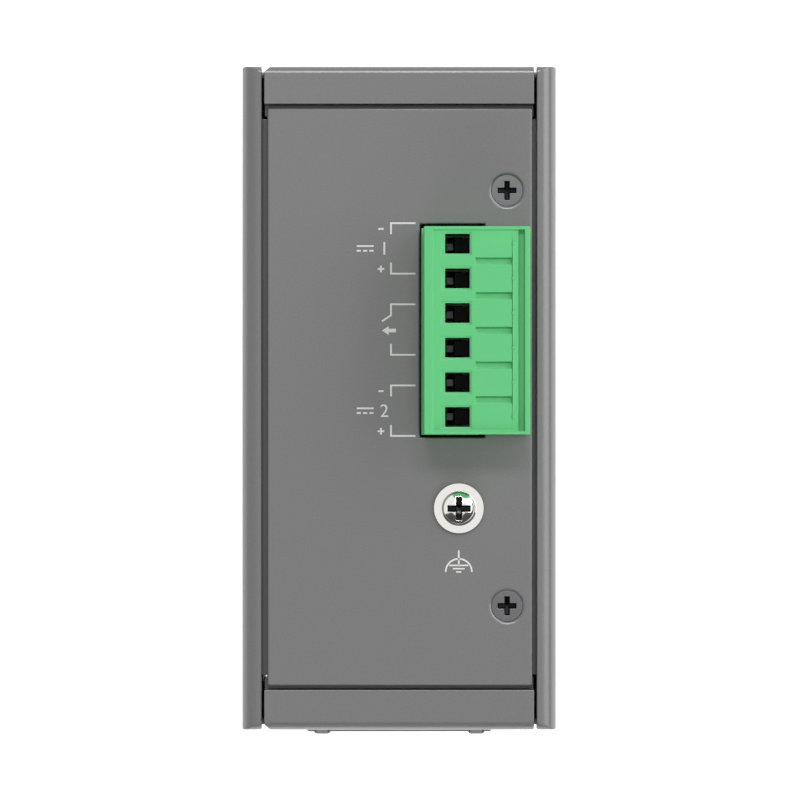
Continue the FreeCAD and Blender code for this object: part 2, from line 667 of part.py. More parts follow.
def lid(label, low, high, faces_up):
    """A flat panel between the bands, with rounded edges and two countersunk screw holes."""
    body = new_body(label)
    outside = high if faces_up else low
    left, right = -(rim_edge - s.lid_gap_left), rim_edge - s.lid_gap_right
    front = -(half_depth - s.front_band - s.lid_gap_ends)
    rear = half_depth - s.rear_band - s.lid_gap_ends
    add(body, "plate", "z", low, high, rectangle(left, right, front, rear))
    level = outside.number
    round_edges(body, "edges", s.lid_edge, lambda p: abs(p.z - level) < CLOSE)
    for where, y in (("front", -s.tab_offset), ("rear", s.tab_offset)):
        cut(body, f"{where}_hole", "z", low, high, circle(lid_screw_x, y, plain_hole))
        cone = body.newObject("PartDesign::SubtractiveCone", f"{label}_{where}_cone")
        cone.AttachmentSupport = [(origin_feature(body, "XY_Plane"), "")]
        cone.MapMode = "FlatFace"
        depth = cone_radius - plain_hole
        bind(cone, "Radius1", plain_hole if faces_up else cone_radius)
        bind(cone, "Radius2", cone_radius if faces_up else plain_hole)
        bind(cone, "Height", depth)
        foot = outside - depth if faces_up else outside
        for axis, value in zip("xyz", (lid_screw_x, size(y), foot)):
            cone.setExpression(f"AttachmentOffset.Base.{axis}", value.formula)
    return body


left_cover = side_cover("left_cover", -1, True)
right_cover = side_cover("right_cover", 1, False)
front_plate = end_plate("front_plate", -1, s.front_band, s.front_bend_inside)
rear_plate = end_plate("rear_plate", 1, s.rear_band, s.rear_bend_inside)
bottom_panel = lid("bottom_panel", size(0), s.lid_sheet, False)
top_low = top - s.lid_sheet
top_panel = lid("top_panel", top_low, top, True)

# Cut-out for the terminal and hole for the ground screw.
header_near = -s.board_face  # the header stands on the board
header_far = header_near - s.header_height
plug_half = s.pitch * s.poles / 2
header_half = plug_half + s.header_ends
cut(
    top_panel, "terminal_cutout", "z", top_low, top,
    rectangle(
        header_far - s.cutout_far_gap, header_near + s.cutout_near_gap,
        s.terminal_y - header_half - s.cutout_front_gap,
        s.terminal_y + header_half + s.cutout_rear_gap,
    ),
)
cut(top_panel, "ground_hole", "z", top_low, top, circle(s.ground_x, s.ground_y, plain_hole))


# ---------------------------------------------------------------------------------------------
# Screws of the case
# ---------------------------------------------------------------------------------------------


def flat_screw(label, length):
    """A countersunk screw that points down, with its head's top at the origin."""
    body = pattern_body(label)
    cone = s.flat_head_radius - s.thread_radius
    turn(
        body, "turned",
        [(0, 0), (s.flat_head_radius, 0), (s.thread_radius, -cone),
         (s.thread_radius, -length), (0, -length)],
    )
    cut_cross(body, size(0))
    return body


def pan_screw(body, head_radius, head_height, length, crown):
    """A pan-head screw that points down, with its head's underside at the origin."""
    turn(
        body, "turned",
        [(0, head_height), crown, (head_radius, 0), (s.thread_radius, 0),
         (s.thread_radius, -length), (0, -length)],
    )


lid_screw = flat_screw("lid_screw", s.lid_screw_length)
group(
    "top_screws", lid_screw,
    [(lid_screw_x, y, top - s.head_recess) for y in (-s.tab_offset, s.tab_offset)],
)
group(
    "bottom_screws", lid_screw,
    [(lid_screw_x, y, s.head_recess) for y in (-s.tab_offset, s.tab_offset)],
    Rotation(Vector(1, 0, 0), 180),
)

ground_washer = new_body("ground_washer")
add(
    ground_washer, "ring", "z", top, top + s.washer_sheet,
    circle(s.ground_x, s.ground_y, s.washer_radius),
    circle(s.ground_x, s.ground_y, plain_hole),
)
ground_nut = new_body("ground_nut")
add(
    ground_nut, "ring", "z", top_low - s.clinch_height, top_low,
    circle(s.ground_x, s.ground_y, s.clinch_radius), circle(s.ground_x, s.ground_y, tapped),
)
ground_screw = new_body("ground_screw")
crown = (s.ground_head_radius, s.ground_head_height, s.ground_crown)
pan_screw(
    ground_screw, s.ground_head_radius, s.ground_head_height, s.ground_length, crown
)
cut_cross(ground_screw, s.ground_head_height)
place(ground_screw, s.ground_x, s.ground_y, top + s.washer_sheet)


# ---------------------------------------------------------------------------------------------
# Circuit board and what stands on it
# ---------------------------------------------------------------------------------------------

board_near = -s.board_face  # side with the sockets and the header
board_far = board_near + s.board_sheet
board_low, board_high = s.board_ends, top - s.board_ends
post_places = [
    (y, z)
    for y in (s.terminal_y - header_half - s.post_front, half_depth - s.post_rear)
    for z in (s.post_end, top - s.post_end)
]
mouth_z = top - s.header_recess  # plane of the header's mouth
header_rear = mouth_z - s.header_depth
pin_x = board_near - s.pin_line
leg_z = header_rear - s.pin_leg
first_pole = s.terminal_y - s.pitch * (s.poles - 1) / 2
half_pin = s.pin_size / 2
DIAGONAL = 2 ** 0.5  # of a square, in sides
FLATS = 3 ** 0.5 / 2  # of a hexagon: its width across flats over its width across corners

main_board = new_body("main_board")
add(
    main_board, "sheet", "x", board_near, board_far,
    rectangle(-half_depth + s.board_front, half_depth - s.board_rear, board_low, board_high),
)
cut(
    main_board, "post_holes", "x", board_near, board_far,
    *[circle(y, z, plain_hole) for y, z in post_places],
)
pin_hole = cut(
    main_board, "pin_hole", "x", board_near, board_far,
    circle(first_pole, leg_z, half_pin * DIAGONAL + s.pin_gap),
)
repeat(main_board, "pin_holes", [pin_hole], "y", s.poles, s.pitch)

board_post = pattern_body("board_post")
post_length = wall_face - board_far
flat = s.post_flats / 2
corner = flat / FLATS
add(
    board_post, "hexagon", "x", 0, post_length,
    [(corner, 0), (corner / 2, flat), (-corner / 2, flat), (-corner, 0), (-corner / 2, -flat),
     (corner / 2, -flat)],
    circle(0, 0, tapped),
)
group("board_posts", board_post, [(board_far, y, z) for y, z in post_places])
board_screw = pattern_body("board_screw")
crown = (s.pan_head_radius, s.pan_head_height)
pan_screw(board_screw, s.pan_head_radius, s.pan_head_height, s.post_screw_length, crown)
group(
    "board_screws", board_screw, [(board_near, y, z) for y, z in post_places],
    Rotation(Vector(0, 1, 0), -90),
)

# Header of the power terminal: a socket that opens upwards, with a row of bent pins.
header_low, header_high = s.terminal_y - header_half, s.terminal_y + header_half
terminal_header = new_body("terminal_header")
add(
    terminal_header, "block", "z", header_rear, mouth_z,
    rectangle(header_far, header_near, header_low, header_high),
)
cut(
    terminal_header, "socket", "z", header_rear + s.header_floor, mouth_z,
    rectangle(
        header_far + s.header_wall, header_near - s.header_wall,
        header_low + s.header_wall, header_high - s.header_wall,
    ),
)
hole = half_pin + s.pin_gap
pin_slot = cut(
    terminal_header, "pin_slot", "z", header_rear, header_rear + s.header_floor,
    rectangle(pin_x - hole, pin_x + hole, first_pole - hole, first_pole + hole),
)
repeat(terminal_header, "pin_slots", [pin_slot], "y", s.poles, s.pitch)

header_pins = new_body("header_pins")
pin = add(
    header_pins, "pin", "y", first_pole - half_pin, first_pole + half_pin,
    [(pin_x - half_pin, leg_z - half_pin), (board_far + s.pin_tail, leg_z - half_pin),
     (board_far + s.pin_tail, leg_z + half_pin), (pin_x + half_pin, leg_z + half_pin),
     (pin_x + half_pin, mouth_z - s.pin_top), (pin_x - half_pin, mouth_z - s.pin_top)],
)
repeat(header_pins, "pins", [pin], "y", s.poles, s.pitch)


# ---------------------------------------------------------------------------------------------
# Plug of the power terminal: six rising-cage clamps
# ---------------------------------------------------------------------------------------------

seat_z = top + s.plug_lift
face_z = seat_z + s.plug_rise
mouth_right = -(s.plug_near + s.mouth_near)
mouth_left = mouth_right - s.mouth_width
clamp_z = seat_z + s.clamp_line
cage_right = -(s.plug_near + s.cage_near)
cage_left = cage_right - s.cage_length
head_seat = cage_left - s.cage_travel - s.clamp_head_gap  # underside of a clamp screw's head
head_outer = head_seat - s.clamp_head_height
plug_near, plug_far = -s.plug_near, head_outer - s.clamp_head_sunk
plug_low, plug_high = s.terminal_y - plug_half, s.terminal_y + plug_half
cage_low, cage_high = clamp_z - s.cage_height / 2, clamp_z + s.cage_height / 2
chamber_low = cage_low - s.cage_fit - s.bar_sheet
bar_left = mouth_left - s.bar_step  # wire side of a contact bar
tongue_low = seat_z - s.tongue_depth
tongue_right = header_near - s.header_wall - s.plug_fit
tongue_left = header_far + s.header_wall + s.plug_fit
tongue_half = header_half - s.header_wall - s.plug_fit

terminal_plug = new_body("terminal_plug")
add(
    terminal_plug, "block", "z", seat_z, face_z,
    rectangle(plug_far, plug_near, plug_low, plug_high),
)
add(
    terminal_plug, "tongue", "z", tongue_low, seat_z,
    rectangle(tongue_left, tongue_right, s.terminal_y - tongue_half, s.terminal_y + tongue_half),
)

# Its face: a sunk field in a rim, with a channel and a sloping strip along the far rim.
field_z = face_z - s.face_step
field_low, field_high = plug_low + s.face_rim_ends, plug_high - s.face_rim_ends
channel_far = plug_far + s.face_rim
channel_near = channel_far + s.channel_width
slope_near = channel_near + s.channel_slope
cut(
    terminal_plug, "field", "z", field_z, face_z,
    rectangle(channel_far, plug_near - s.face_rim_near, field_low, field_high),
)
cut(
    terminal_plug, "channel", "y", field_low, field_high,
    [(channel_far, field_z - s.channel_depth), (channel_near, field_z - s.channel_depth),
     (channel_near, field_z - s.channel_drop), (slope_near, field_z), (slope_near, face_z),
     (channel_far, face_z)],
)

# One pole: the wire mouth with its lead-in, the cage's chamber, the screw's bore and the slot
# that the header's pin enters.
mouth_half = s.mouth_length / 2
funnel_half = mouth_half + s.funnel_ends
funnel = cut(
    terminal_plug, "funnel", "z", field_z - s.funnel_depth, field_z,
    rectangle(
        mouth_left - s.funnel_ends, mouth_right + s.funnel_width,
        first_pole - funnel_half, first_pole + funnel_half,
    ),
)
mouth = cut(
    terminal_plug, "mouth", "z", cage_low, field_z,
    rectangle(mouth_left, mouth_right, first_pole - mouth_half, first_pole + mouth_half),
)
chamber_half = s.cage_width / 2 + s.cage_fit / 2
chamber = cut(
    terminal_plug, "chamber", "z", chamber_low, cage_high + s.cage_fit,
    rectangle(
        head_seat, cage_right + s.cage_fit, first_pole - chamber_half, first_pole + chamber_half
    ),
)
bore = cut(
    terminal_plug, "screw_bore", "x", plug_far, head_seat,
    circle(first_pole, clamp_z, s.clamp_head_radius + s.clamp_bore_gap),
)
slot_half = s.bar_width / 2 + s.bar_gap
pin_slot = cut(
    terminal_plug, "pin_slot", "z", tongue_low, chamber_low,
    rectangle(
        pin_x - half_pin - s.bar_sheet - s.spring_room, pin_x + half_pin + s.pin_room,
        first_pole - slot_half, first_pole + slot_half,
    ),
)
pole = [funnel, mouth, chamber, bore, pin_slot]
repeat(terminal_plug, "poles", pole, "y", s.poles, s.pitch)
groove_y = first_pole + s.pitch / 2
groove = cut(
    terminal_plug, "groove", "z", field_z - s.groove_depth, field_z,
    rectangle(
        plug_far + s.groove_start, plug_far + s.groove_start + s.groove_length,
        groove_y - s.groove_width / 2, groove_y + s.groove_width / 2,
    ),
)
repeat(terminal_plug, "grooves", [groove], "y", s.poles - 1, s.pitch)

# Contact bars: the flat that the wire is clamped against, and the tongue beside the pin.
bar_right = pin_x - half_pin - s.bar_gap  # face that the header's pin slides on
bar_low, bar_floor = tongue_low + s.bar_short, chamber_low + s.bar_seat
bar_seat = bar_floor + s.bar_sheet
plug_contacts = new_body("plug_contacts")
bar = add(
    plug_contacts, "bar", "y", first_pole - s.bar_width / 2, first_pole + s.bar_width / 2,
    [(bar_right, bar_low), (bar_right, bar_seat), (bar_left, bar_seat), (bar_left, cage_high),
     (bar_left - s.bar_sheet, cage_high), (bar_left - s.bar_sheet, bar_floor),
     (bar_right - s.bar_sheet, bar_floor), (bar_right - s.bar_sheet, bar_low)],
)
repeat(plug_contacts, "bars", [bar], "y", s.poles, s.pitch)


def clamp_cage(label, pole_y):
    """A square loop that the clamp screw draws towards its head."""
    body = new_body(label)
    half, cheek = s.cage_width / 2, s.cage_width / 2 - s.cage_cheek
    add(
        body, "loop", "z", cage_low, cage_high,
        rectangle(cage_left, cage_right, pole_y - half, pole_y + half),
        rectangle(
            cage_left + s.cage_wall, cage_right - s.cage_wall, pole_y - cheek, pole_y + cheek
        ),
    )
    cut(
        body, "thread", "x", cage_left, cage_left + s.cage_wall,
        circle(pole_y, clamp_z, s.clamp_thread + s.thread_clearance),
    )


def clamp_screw(label, pole_y):
    """A slotted screw whose axis lies across the case."""
    body = new_body(label)
    tip = bar_left - s.bar_sheet - s.clamp_tip_gap
    add(body, "shank", "x", head_seat, tip, circle(0, 0, s.clamp_thread))
    add(body, "head", "x", head_outer, head_seat, circle(0, 0, s.clamp_head_radius))
    half, reach = s.slot_width / 2, s.clamp_head_radius + PAST
    cut(
        body, "slot", "x", head_outer, head_outer + s.slot_depth,
        rectangle(-half, half, -reach, reach),
    )
    place(body, 0, pole_y, clamp_z)


for number in range(int(s.poles.number)):
    pole_y = first_pole + s.pitch * number
    clamp_cage(f"clamp_cage_{number + 1}", pole_y)
    clamp_screw(f"clamp_screw_{number + 1}", pole_y)


# ---------------------------------------------------------------------------------------------
# Sockets
# ---------------------------------------------------------------------------------------------

port_face = -half_depth + s.port_recess
port_far = board_near - s.port_height
shield_far = port_far + s.shield_sheet
insert_far = shield_far + s.insert_fit
mouth_far = port_far + s.mouth_top_wall
mouth_near = mouth_far + s.mouth_tall


def port_window(port_z):
    """The opening of the front plate round one socket."""
    half = s.port_width / 2 + s.port_gap
    return rectangle(port_far - s.port_gap, board_near + s.port_gap, port_z - half, port_z + half)


def mouth_outline(port_z):
    """The stepped outline of a socket's mouth: the latch slot points at the board."""
    half, step, slot = s.mouth_span / 2, s.latch_span / 2, s.latch_slot_span / 2
    first = mouth_near + s.latch_step
    second = first + s.latch_slot_step
    return [
        (mouth_far, port_z - half), (mouth_near, port_z - half), (mouth_near, port_z - step),
        (first, port_z - step), (first, port_z - slot), (second, port_z - slot),
        (second, port_z + slot), (first, port_z + slot), (first, port_z + step),
        (mouth_near, port_z + step), (mouth_near, port_z + half), (mouth_far, port_z + half),
    ]


def port(number, port_z):
    """One socket: a metal shield round a moulded insert with eight sprung contacts."""
    half = s.port_width / 2
    rear = port_face + s.port_depth
    shield = new_body(f"port_shield_{number}")
    inner = half - s.shield_sheet
    add(
        shield, "shell", "y", port_face, rear,
        rectangle(port_far, board_near, port_z - half, port_z + half),
    )
    cut(
        shield, "inside", "y", port_face + s.shield_sheet, rear - s.shield_sheet,
        rectangle(shield_far, board_near, port_z - inner, port_z + inner),
    )
    lip = s.shield_lip
    cut(
        shield, "face", "y", port_face, port_face + s.shield_sheet,
        rectangle(port_far + lip, board_near, port_z - half + lip, port_z + half - lip),
    )
    insert = new_body(f"port_insert_{number}")
    body_half = inner - s.insert_fit
    front = port_face + s.shield_sheet + s.insert_fit
    add(
        insert, "block", "y", front, rear - s.shield_sheet - s.insert_fit,
        rectangle(insert_far, board_near - s.insert_foot, port_z - body_half, port_z + body_half),
    )
    cut(insert, "mouth", "y", front, front + s.mouth_depth, mouth_outline(port_z))
    contacts = new_body(f"port_contacts_{number}")
    first = port_z - s.contact_pitch * (s.contact_count - 1) / 2
    bend = front + s.contact_front
    foot, end = mouth_far + s.contact_seat, mouth_far + s.contact_drop
    strip = add(
        contacts, "strip", "z", first - s.contact_width / 2, first + s.contact_width / 2,
        [(foot, bend), (foot + s.contact_sheet, bend), (end, bend + s.contact_run),
         (end - s.contact_sheet, bend + s.contact_run)],
    )
    repeat(contacts, "strips", [strip], "z", s.contact_count, s.contact_pitch)


port_pitch = s.port_width + s.port_space
port_heights = [s.port_first + port_pitch * n for n in range(int(s.ports.number))]
for number, port_z in enumerate(port_heights, start=1):
    port(number, port_z)
    cut(
        front_plate, f"window_{number}", "y", -half_depth, -half_depth + s.sheet,
        port_window(port_z),
    )


# ---------------------------------------------------------------------------------------------
# Lamps
# ---------------------------------------------------------------------------------------------

def lamp_outline(lamp_z, gap):
    """The outline of a light pipe's finger, or of its hole with a gap round the finger."""
    half, tall = s.lamp_width / 2 + gap, s.lamp_tall / 2 + gap
    return rectangle(s.lamp_line - half, s.lamp_line + half, lamp_z - tall, lamp_z + tall)


lamp_heights = [z + side * s.lamp_offset for z in port_heights for side in (-1, 1)]
status_middle = (lamp_heights[-1] + top) / 2  # between the uppermost socket's lamp and the top
status_first = status_middle - s.status_pitch * (s.status_count - 1) / 2
lamp_heights += [status_first + s.status_pitch * n for n in range(int(s.status_count.number))]
cut(
    front_plate, "lamp_holes", "y", -half_depth, -half_depth + s.sheet,
    *[lamp_outline(z, s.lamp_gap) for z in lamp_heights],
)
bar_front = -half_depth + s.lamp_bar_setback
bar_rear = bar_front + s.lamp_bar_depth
light_pipe = new_body("light_pipe")
add(
    light_pipe, "bar", "y", bar_front, bar_rear,
    rectangle(
        board_far + s.lamp_gap, s.lamp_line + s.lamp_width / 2 + s.lamp_bar_edge,
        lamp_heights[0] - s.lamp_bar_ends, lamp_heights[-1] + s.lamp_bar_ends,
    ),
)
add(
    light_pipe, "fingers", "y", -half_depth, bar_front,
    *[lamp_outline(z, size(0)) for z in lamp_heights],
)
lamp = pattern_body("lamp")
half = s.chip_lamp_width / 2
add(lamp, "body", "y", 0, s.chip_lamp_depth, rectangle(0, s.chip_lamp_height, -half, half))
lamp_foot, lamp_front = board_far + s.solder_gap, bar_rear + s.chip_lamp_gap
group("lamps", lamp, [(lamp_foot, lamp_front, z) for z in lamp_heights])


# ---------------------------------------------------------------------------------------------
# Electronic parts
# ---------------------------------------------------------------------------------------------

def on_board(label, name, height, y, z, depth, width):
    """A block on the board's part side, centred at (y, z)."""
    body = new_body(label)
    add(
        body, name, "x", board_near - height, board_near,
        rectangle(y - depth / 2, y + depth / 2, z - width / 2, z + width / 2),
    )
    return body


chip_z = (board_low + board_high) / 2 - s.chip_below
on_board("switch_chip", "case", s.chip_height, s.chip_y, chip_z, s.chip_side, s.chip_side)

heat_sink = new_body("heat_sink")
sink_face = board_near - s.chip_height
fin_foot = sink_face - s.sink_base
sink_half = s.chip_side / 2 + s.sink_edge
sink_low, sink_high = chip_z - sink_half, chip_z + sink_half
sink_front = s.chip_y - sink_half
add(
    heat_sink, "base", "x", fin_foot, sink_face,
    rectangle(sink_front, s.chip_y + sink_half, sink_low, sink_high),
)
fin_pitch = (sink_half * 2 - s.fin_sheet) / (s.fin_count - 1)
fin = add(
    heat_sink, "fin", "x", fin_foot - s.fin_height, fin_foot,
    rectangle(sink_front, sink_front + s.fin_sheet, sink_low, sink_high),
)
repeat(heat_sink, "fins", [fin], "y", s.fin_count, fin_pitch)


def can(label, z):
    """An upright capacitor can with a bevelled upper edge."""
    body = new_body(label)
    turn(
        body, "turned",
        [(0, 0), (s.can_radius, 0), (s.can_radius, s.can_length - s.can_edge),
         (s.can_radius - s.can_edge, s.can_length), (0, s.can_length)],
    )
    place(body, board_near, s.can_y, z, Rotation(Vector(0, 1, 0), -90))


upper_can = header_rear - s.can_below
can("capacitor_1", upper_can)
can("capacitor_2", upper_can - s.can_radius * 2 - s.can_space)

core_z = header_rear - s.core_below - s.core_width / 2
transformer = on_board(
    "power_transformer", "core", s.core_height, s.core_y, core_z, s.core_depth, s.core_width
)
window_y, window_z = s.core_depth / 2 - s.core_leg, s.core_width / 2 - s.core_yoke
cut(
    transformer, "window", "x", board_near - s.core_height,
    board_near - s.core_height + s.window_depth,
    rectangle(s.core_y - window_y, s.core_y + window_y, core_z - window_z, core_z + window_z),
)
relay_z = core_z - s.core_width / 2 - s.relay_space - s.relay_width / 2
on_board(
    "fault_relay", "case", s.relay_height, s.relay_y, relay_z, s.relay_depth, s.relay_width
)
inductor = on_board(
    "power_inductor", "case", s.coil_height, s.coil_y, core_z, s.coil_side, s.coil_side
)
coil_middle = board_near.number - s.coil_height.number / 2
round_edges(inductor, "corners", s.coil_corner, lambda p: abs(p.x - coil_middle) < CLOSE)


# ---------------------------------------------------------------------------------------------
# Rail clip
# ---------------------------------------------------------------------------------------------

rail_low = s.rail_middle - s.rail_height / 2
rail_high = s.rail_middle + s.rail_height / 2
clip_back = half_depth + s.clip_sheet  # plane that the rail's flanges lie on
lip_near = clip_back + s.rail_sheet + s.rail_play
lip_far = lip_near + s.hook_sheet
clip_half = s.clip_width / 2
latch_near = clip_back + s.latch_fit
latch_far = latch_near + s.latch_sheet
guide_high = rail_low - s.guide_top
guide_low = guide_high - s.guide_length
guide_half = s.latch_width / 2 + s.latch_fit
spring_high = rail_low - s.spring_top
spring_low = spring_high - s.spring_length
spring_y = (latch_near + latch_far) / 2
upper_screws = s.rail_middle + s.clip_screw_up
clip_screw_places = [
    (-s.clip_screw_offset, upper_screws), (s.clip_screw_offset, upper_screws),
    (size(0), s.rail_middle - s.clip_screw_down),
]

rail_clip = new_body("rail_clip")
add(
    rail_clip, "plate", "y", half_depth, clip_back,
    rectangle(-clip_half, clip_half, rail_low - s.clip_bottom, rail_high + s.clip_top),
)
hook_low = rail_high + s.rail_play
add(
    rail_clip, "hook_bar", "y", clip_back, lip_far,
    rectangle(-clip_half, clip_half, hook_low, hook_low + s.hook_bar),
)
add(
    rail_clip, "hook_lip", "y", lip_near, lip_far,
    rectangle(-clip_half, clip_half, rail_high - s.hook_bite, hook_low),
)
for where, x in (("left", -s.rib_offset), ("right", s.rib_offset)):
    add(
        rail_clip, f"{where}_rib", "x", x - s.rib_width / 2, x + s.rib_width / 2,
        [(lip_near, rail_high - s.hook_bite), (lip_far + s.rib_proud, rail_high - s.hook_bite),
         (lip_far + s.rib_proud, hook_low + s.hook_bar),
         (clip_back, hook_low + s.hook_bar + s.hook_slope), (clip_back, hook_low),
         (lip_near, hook_low)],
    )
add(
    rail_clip, "guide", "z", guide_low, guide_high,
    rectangle(
        -guide_half - s.guide_wall, guide_half + s.guide_wall, clip_back,
        latch_far + s.latch_fit + s.guide_wall,
    ),
)
cut(
    rail_clip, "guide_slot", "z", guide_low, guide_high,
    rectangle(-guide_half, guide_half, clip_back, latch_far + s.latch_fit),
)
window_half = s.spring_radius + s.spring_wire + s.spring_fit
stop_half = window_half - s.stop_fit
add(
    rail_clip, "spring_stop", "z", spring_low - s.stop_height, spring_low,
    rectangle(-stop_half, stop_half, clip_back, latch_far),
)
for number, (x, z) in enumerate(clip_screw_places, start=1):
    cut(rail_clip, f"hole_{number}", "y", half_depth, clip_back, circle(x, z, plain_hole))
    cone = rail_clip.newObject("PartDesign::SubtractiveCone", f"rail_clip_cone_{number}")
    cone.AttachmentSupport = [(origin_feature(rail_clip, "XZ_Plane"), "")]
    cone.MapMode = "FlatFace"
    bind(cone, "Radius1", cone_radius)
    bind(cone, "Radius2", plain_hole)
    bind(cone, "Height", cone_radius - plain_hole)
    for axis, value in zip("xyz", (size(x), size(z), -clip_back)):
        cone.setExpression(f"AttachmentOffset.Base.{axis}", value.formula)
cut(
    rear_plate, "clip_holes", "y", half_depth - s.sheet, half_depth,
    *[circle(x, z, tapped) for x, z in clip_screw_places],
)
clip_screw = flat_screw("clip_screw", s.lid_screw_length)
group(
    "clip_screws", clip_screw,
    [(x, clip_back - s.head_recess, z) for x, z in clip_screw_places],
    Rotation(Vector(1, 0, 0), -90),
)

# Latch: a slider with a nose behind the rail's lower flange, a window for the spring and an eye.
latch_low = rail_low - s.latch_tail
latch_shoulder = rail_low - s.rail_play
nose_high = rail_low + s.nose_bite
latch_half = s.latch_width / 2
rail_latch = new_body("rail_latch")
add(
    rail_latch, "slider", "x", -latch_half, latch_half,
    [(latch_near, latch_low), (latch_far, latch_low), (latch_far, nose_high - s.nose_height),
     (latch_far - s.nose_bevel, nose_high), (lip_near, nose_high), (lip_near, latch_shoulder),
     (latch_near, latch_shoulder)],
)
window_low = spring_low - s.stop_height - s.latch_fit
cut(
    rail_latch, "window", "y", latch_near, latch_far,
    rectangle(-window_half, window_half, window_low, spring_high),
)
eye_low = latch_low + s.eye_edge
cut(
    rail_latch, "eye", "y", latch_near, latch_far,
    rectangle(-s.eye_width / 2, s.eye_width / 2, eye_low, eye_low + s.eye_height),
)

latch_spring = new_body("latch_spring")
r, w = s.spring_radius, s.spring_wire
half_side, flat = w / 2, w * FLATS  # of the six-sided wire
wire = new_sketch(
    latch_spring, "wire", "y", 0,
    [[(r - w, w), (r - half_side, w - flat), (r + half_side, w - flat),
      (r + w, w), (r + half_side, w + flat), (r - half_side, w + flat)]],
)
coil = latch_spring.newObject("PartDesign::AdditiveHelix", "latch_spring_coil")
coil.Profile = wire
coil.ReferenceAxis = (origin_feature(latch_spring, "Z_Axis"), [""])
coil.Mode = "height-turns-angle"
bind(coil, "Height", s.spring_length - s.spring_wire * 2)
coil.Turns = s.spring_turns.number
coil.setExpression("Turns", s.spring_turns.formula)
place(latch_spring, 0, spring_y, spring_low)


# ---------------------------------------------------------------------------------------------
# Checks and export
# ---------------------------------------------------------------------------------------------


def problems():
    """What is wrong with the document's features and sub-parts, as plain sentences."""
    found = []
    for item in doc.Objects:
        if "Invalid" in item.State or "Error" in item.State:
            found.append(f"{item.Label} is {item.State}")
        if item.TypeId in ("PartDesign::Pocket", "PartDesign::SubtractiveCone"):
            before = item.BaseFeature.Shape.Volume
            if not item.Shape.Volume < before - 1e-6:
                found.append(f"{item.Label} cuts nothing")
    for part in parts:
        if part.Shape.isNull() or not part.Shape.isValid() or not part.Shape.Solids:
            found.append(f"{part.Label} has no valid solid")
    labels = [part.Label for part in parts]
    if len(set(labels)) != len(labels):
        found.append("two sub-parts share a label")
    return found


doc.recompute()
faults = problems()
if faults:
    raise RuntimeError("; ".join(faults))
os.makedirs("parts", exist_ok=True)
for part in parts:
    part.Shape.exportStep(os.path.join("parts", f"{part.Label}.step"))
print(f"{len(parts)} sub-parts written")
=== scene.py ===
"""Looks of a narrow network switch for a mounting rail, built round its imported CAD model."""

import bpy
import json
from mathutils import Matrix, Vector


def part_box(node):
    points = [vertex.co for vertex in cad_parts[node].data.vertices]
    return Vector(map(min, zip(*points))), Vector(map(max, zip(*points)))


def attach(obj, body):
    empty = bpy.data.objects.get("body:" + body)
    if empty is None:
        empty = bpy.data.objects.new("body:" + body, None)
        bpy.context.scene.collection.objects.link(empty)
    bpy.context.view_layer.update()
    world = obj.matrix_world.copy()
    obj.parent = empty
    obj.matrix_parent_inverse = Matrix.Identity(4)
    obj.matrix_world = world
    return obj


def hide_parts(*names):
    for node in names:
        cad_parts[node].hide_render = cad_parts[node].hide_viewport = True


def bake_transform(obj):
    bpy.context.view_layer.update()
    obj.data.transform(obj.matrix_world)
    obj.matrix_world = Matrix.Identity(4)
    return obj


bl_info = {
    "name": "Rail Switch Looks",
    "version": (1, 0, 0),
    "blender": (4, 5, 0),
    "location": "3D View > Sidebar > Switch",
    "description": "Finishes, turned screws, eased mouldings, print and stage of a rail switch",
    "category": "Object",
}

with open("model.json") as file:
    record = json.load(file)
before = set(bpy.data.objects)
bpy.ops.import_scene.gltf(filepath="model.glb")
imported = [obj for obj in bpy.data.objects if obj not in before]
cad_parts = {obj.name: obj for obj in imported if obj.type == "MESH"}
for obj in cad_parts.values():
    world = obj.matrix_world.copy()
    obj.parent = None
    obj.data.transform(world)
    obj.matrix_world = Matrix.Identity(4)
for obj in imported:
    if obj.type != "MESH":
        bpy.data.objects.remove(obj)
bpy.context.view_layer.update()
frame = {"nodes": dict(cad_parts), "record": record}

import json
import math

import bmesh
import bpy
import numpy as np
from bpy.props import FloatProperty, FloatVectorProperty, PointerProperty
from mathutils import Matrix, Vector

NODES = frame["nodes"]
SLOTS = {part["node"]: part["material_slot"] for part in frame["record"]["subparts"]}
SOCKETS = range(1, 6)
MM = 0.001

# Materials
RECESS_SHADE_COLOUR = "#202020"  # painted shade at the bottom of a cross recess
# Painted shade in the folds and seams of the case paint: the colour darkens where other faces are
# near
PAINTED_SHADE_REACH = 1.2 * MM  # how near another face has to be to make a crevice with painted shade
PAINTED_SHADE_OPEN = (0.25, 0.85)  # the openness at which the darkening is full, and where it ends
PAINTED_SHADE_DARK = 0.1  # brightness left in the deepest crevice
PAINTED_SHADE_SHARE = 0.8  # how much of the darkening reaches the colour
PAINTED_SHADE_SAMPLES = 6

# Copies of CAD nodes with eased edges
MERGE_DISTANCE = 0.002 * MM
FLAT_ANGLE, EDGE_ANGLE = math.radians(1), math.radians(40)  # faces that are one, edges to ease

# Screws, as shares of the named radius or width where no unit is given
SCREW_STEPS, CAP_RINGS = 144, 48
CAP_BOW = 0.72  # share of a cap's fall that follows the square of the radius
CAP_POWER = 9  # the power of the radius that the rest of the fall follows
CROSS_SLOPE = 0.55  # how much shallower a cross recess is at its ends
CROSS_WALL = 0.2  # width of a recess's sloping wall, of the arm's width
RECESS_MARK = 3  # the painted shade is full at a third of the recess's depth
THREAD_PITCH, THREAD_DEPTH, PITCH_RINGS = 0.35, 0.12, 6  # of the shank's radius
FLAT_BODY, GROUND_BODY = 0.617, 0.56  # the shank's radius, of the head's
FLAT_INSET, FLAT_RIM, FLAT_DOME = 0.05 * MM, 0.06 * MM, 0.02 * MM
GROUND_RIM = 0.02 * MM
GROUND_CROSS = (1.24, 1.15, 1.4)  # the ground screw's cross against the small one's

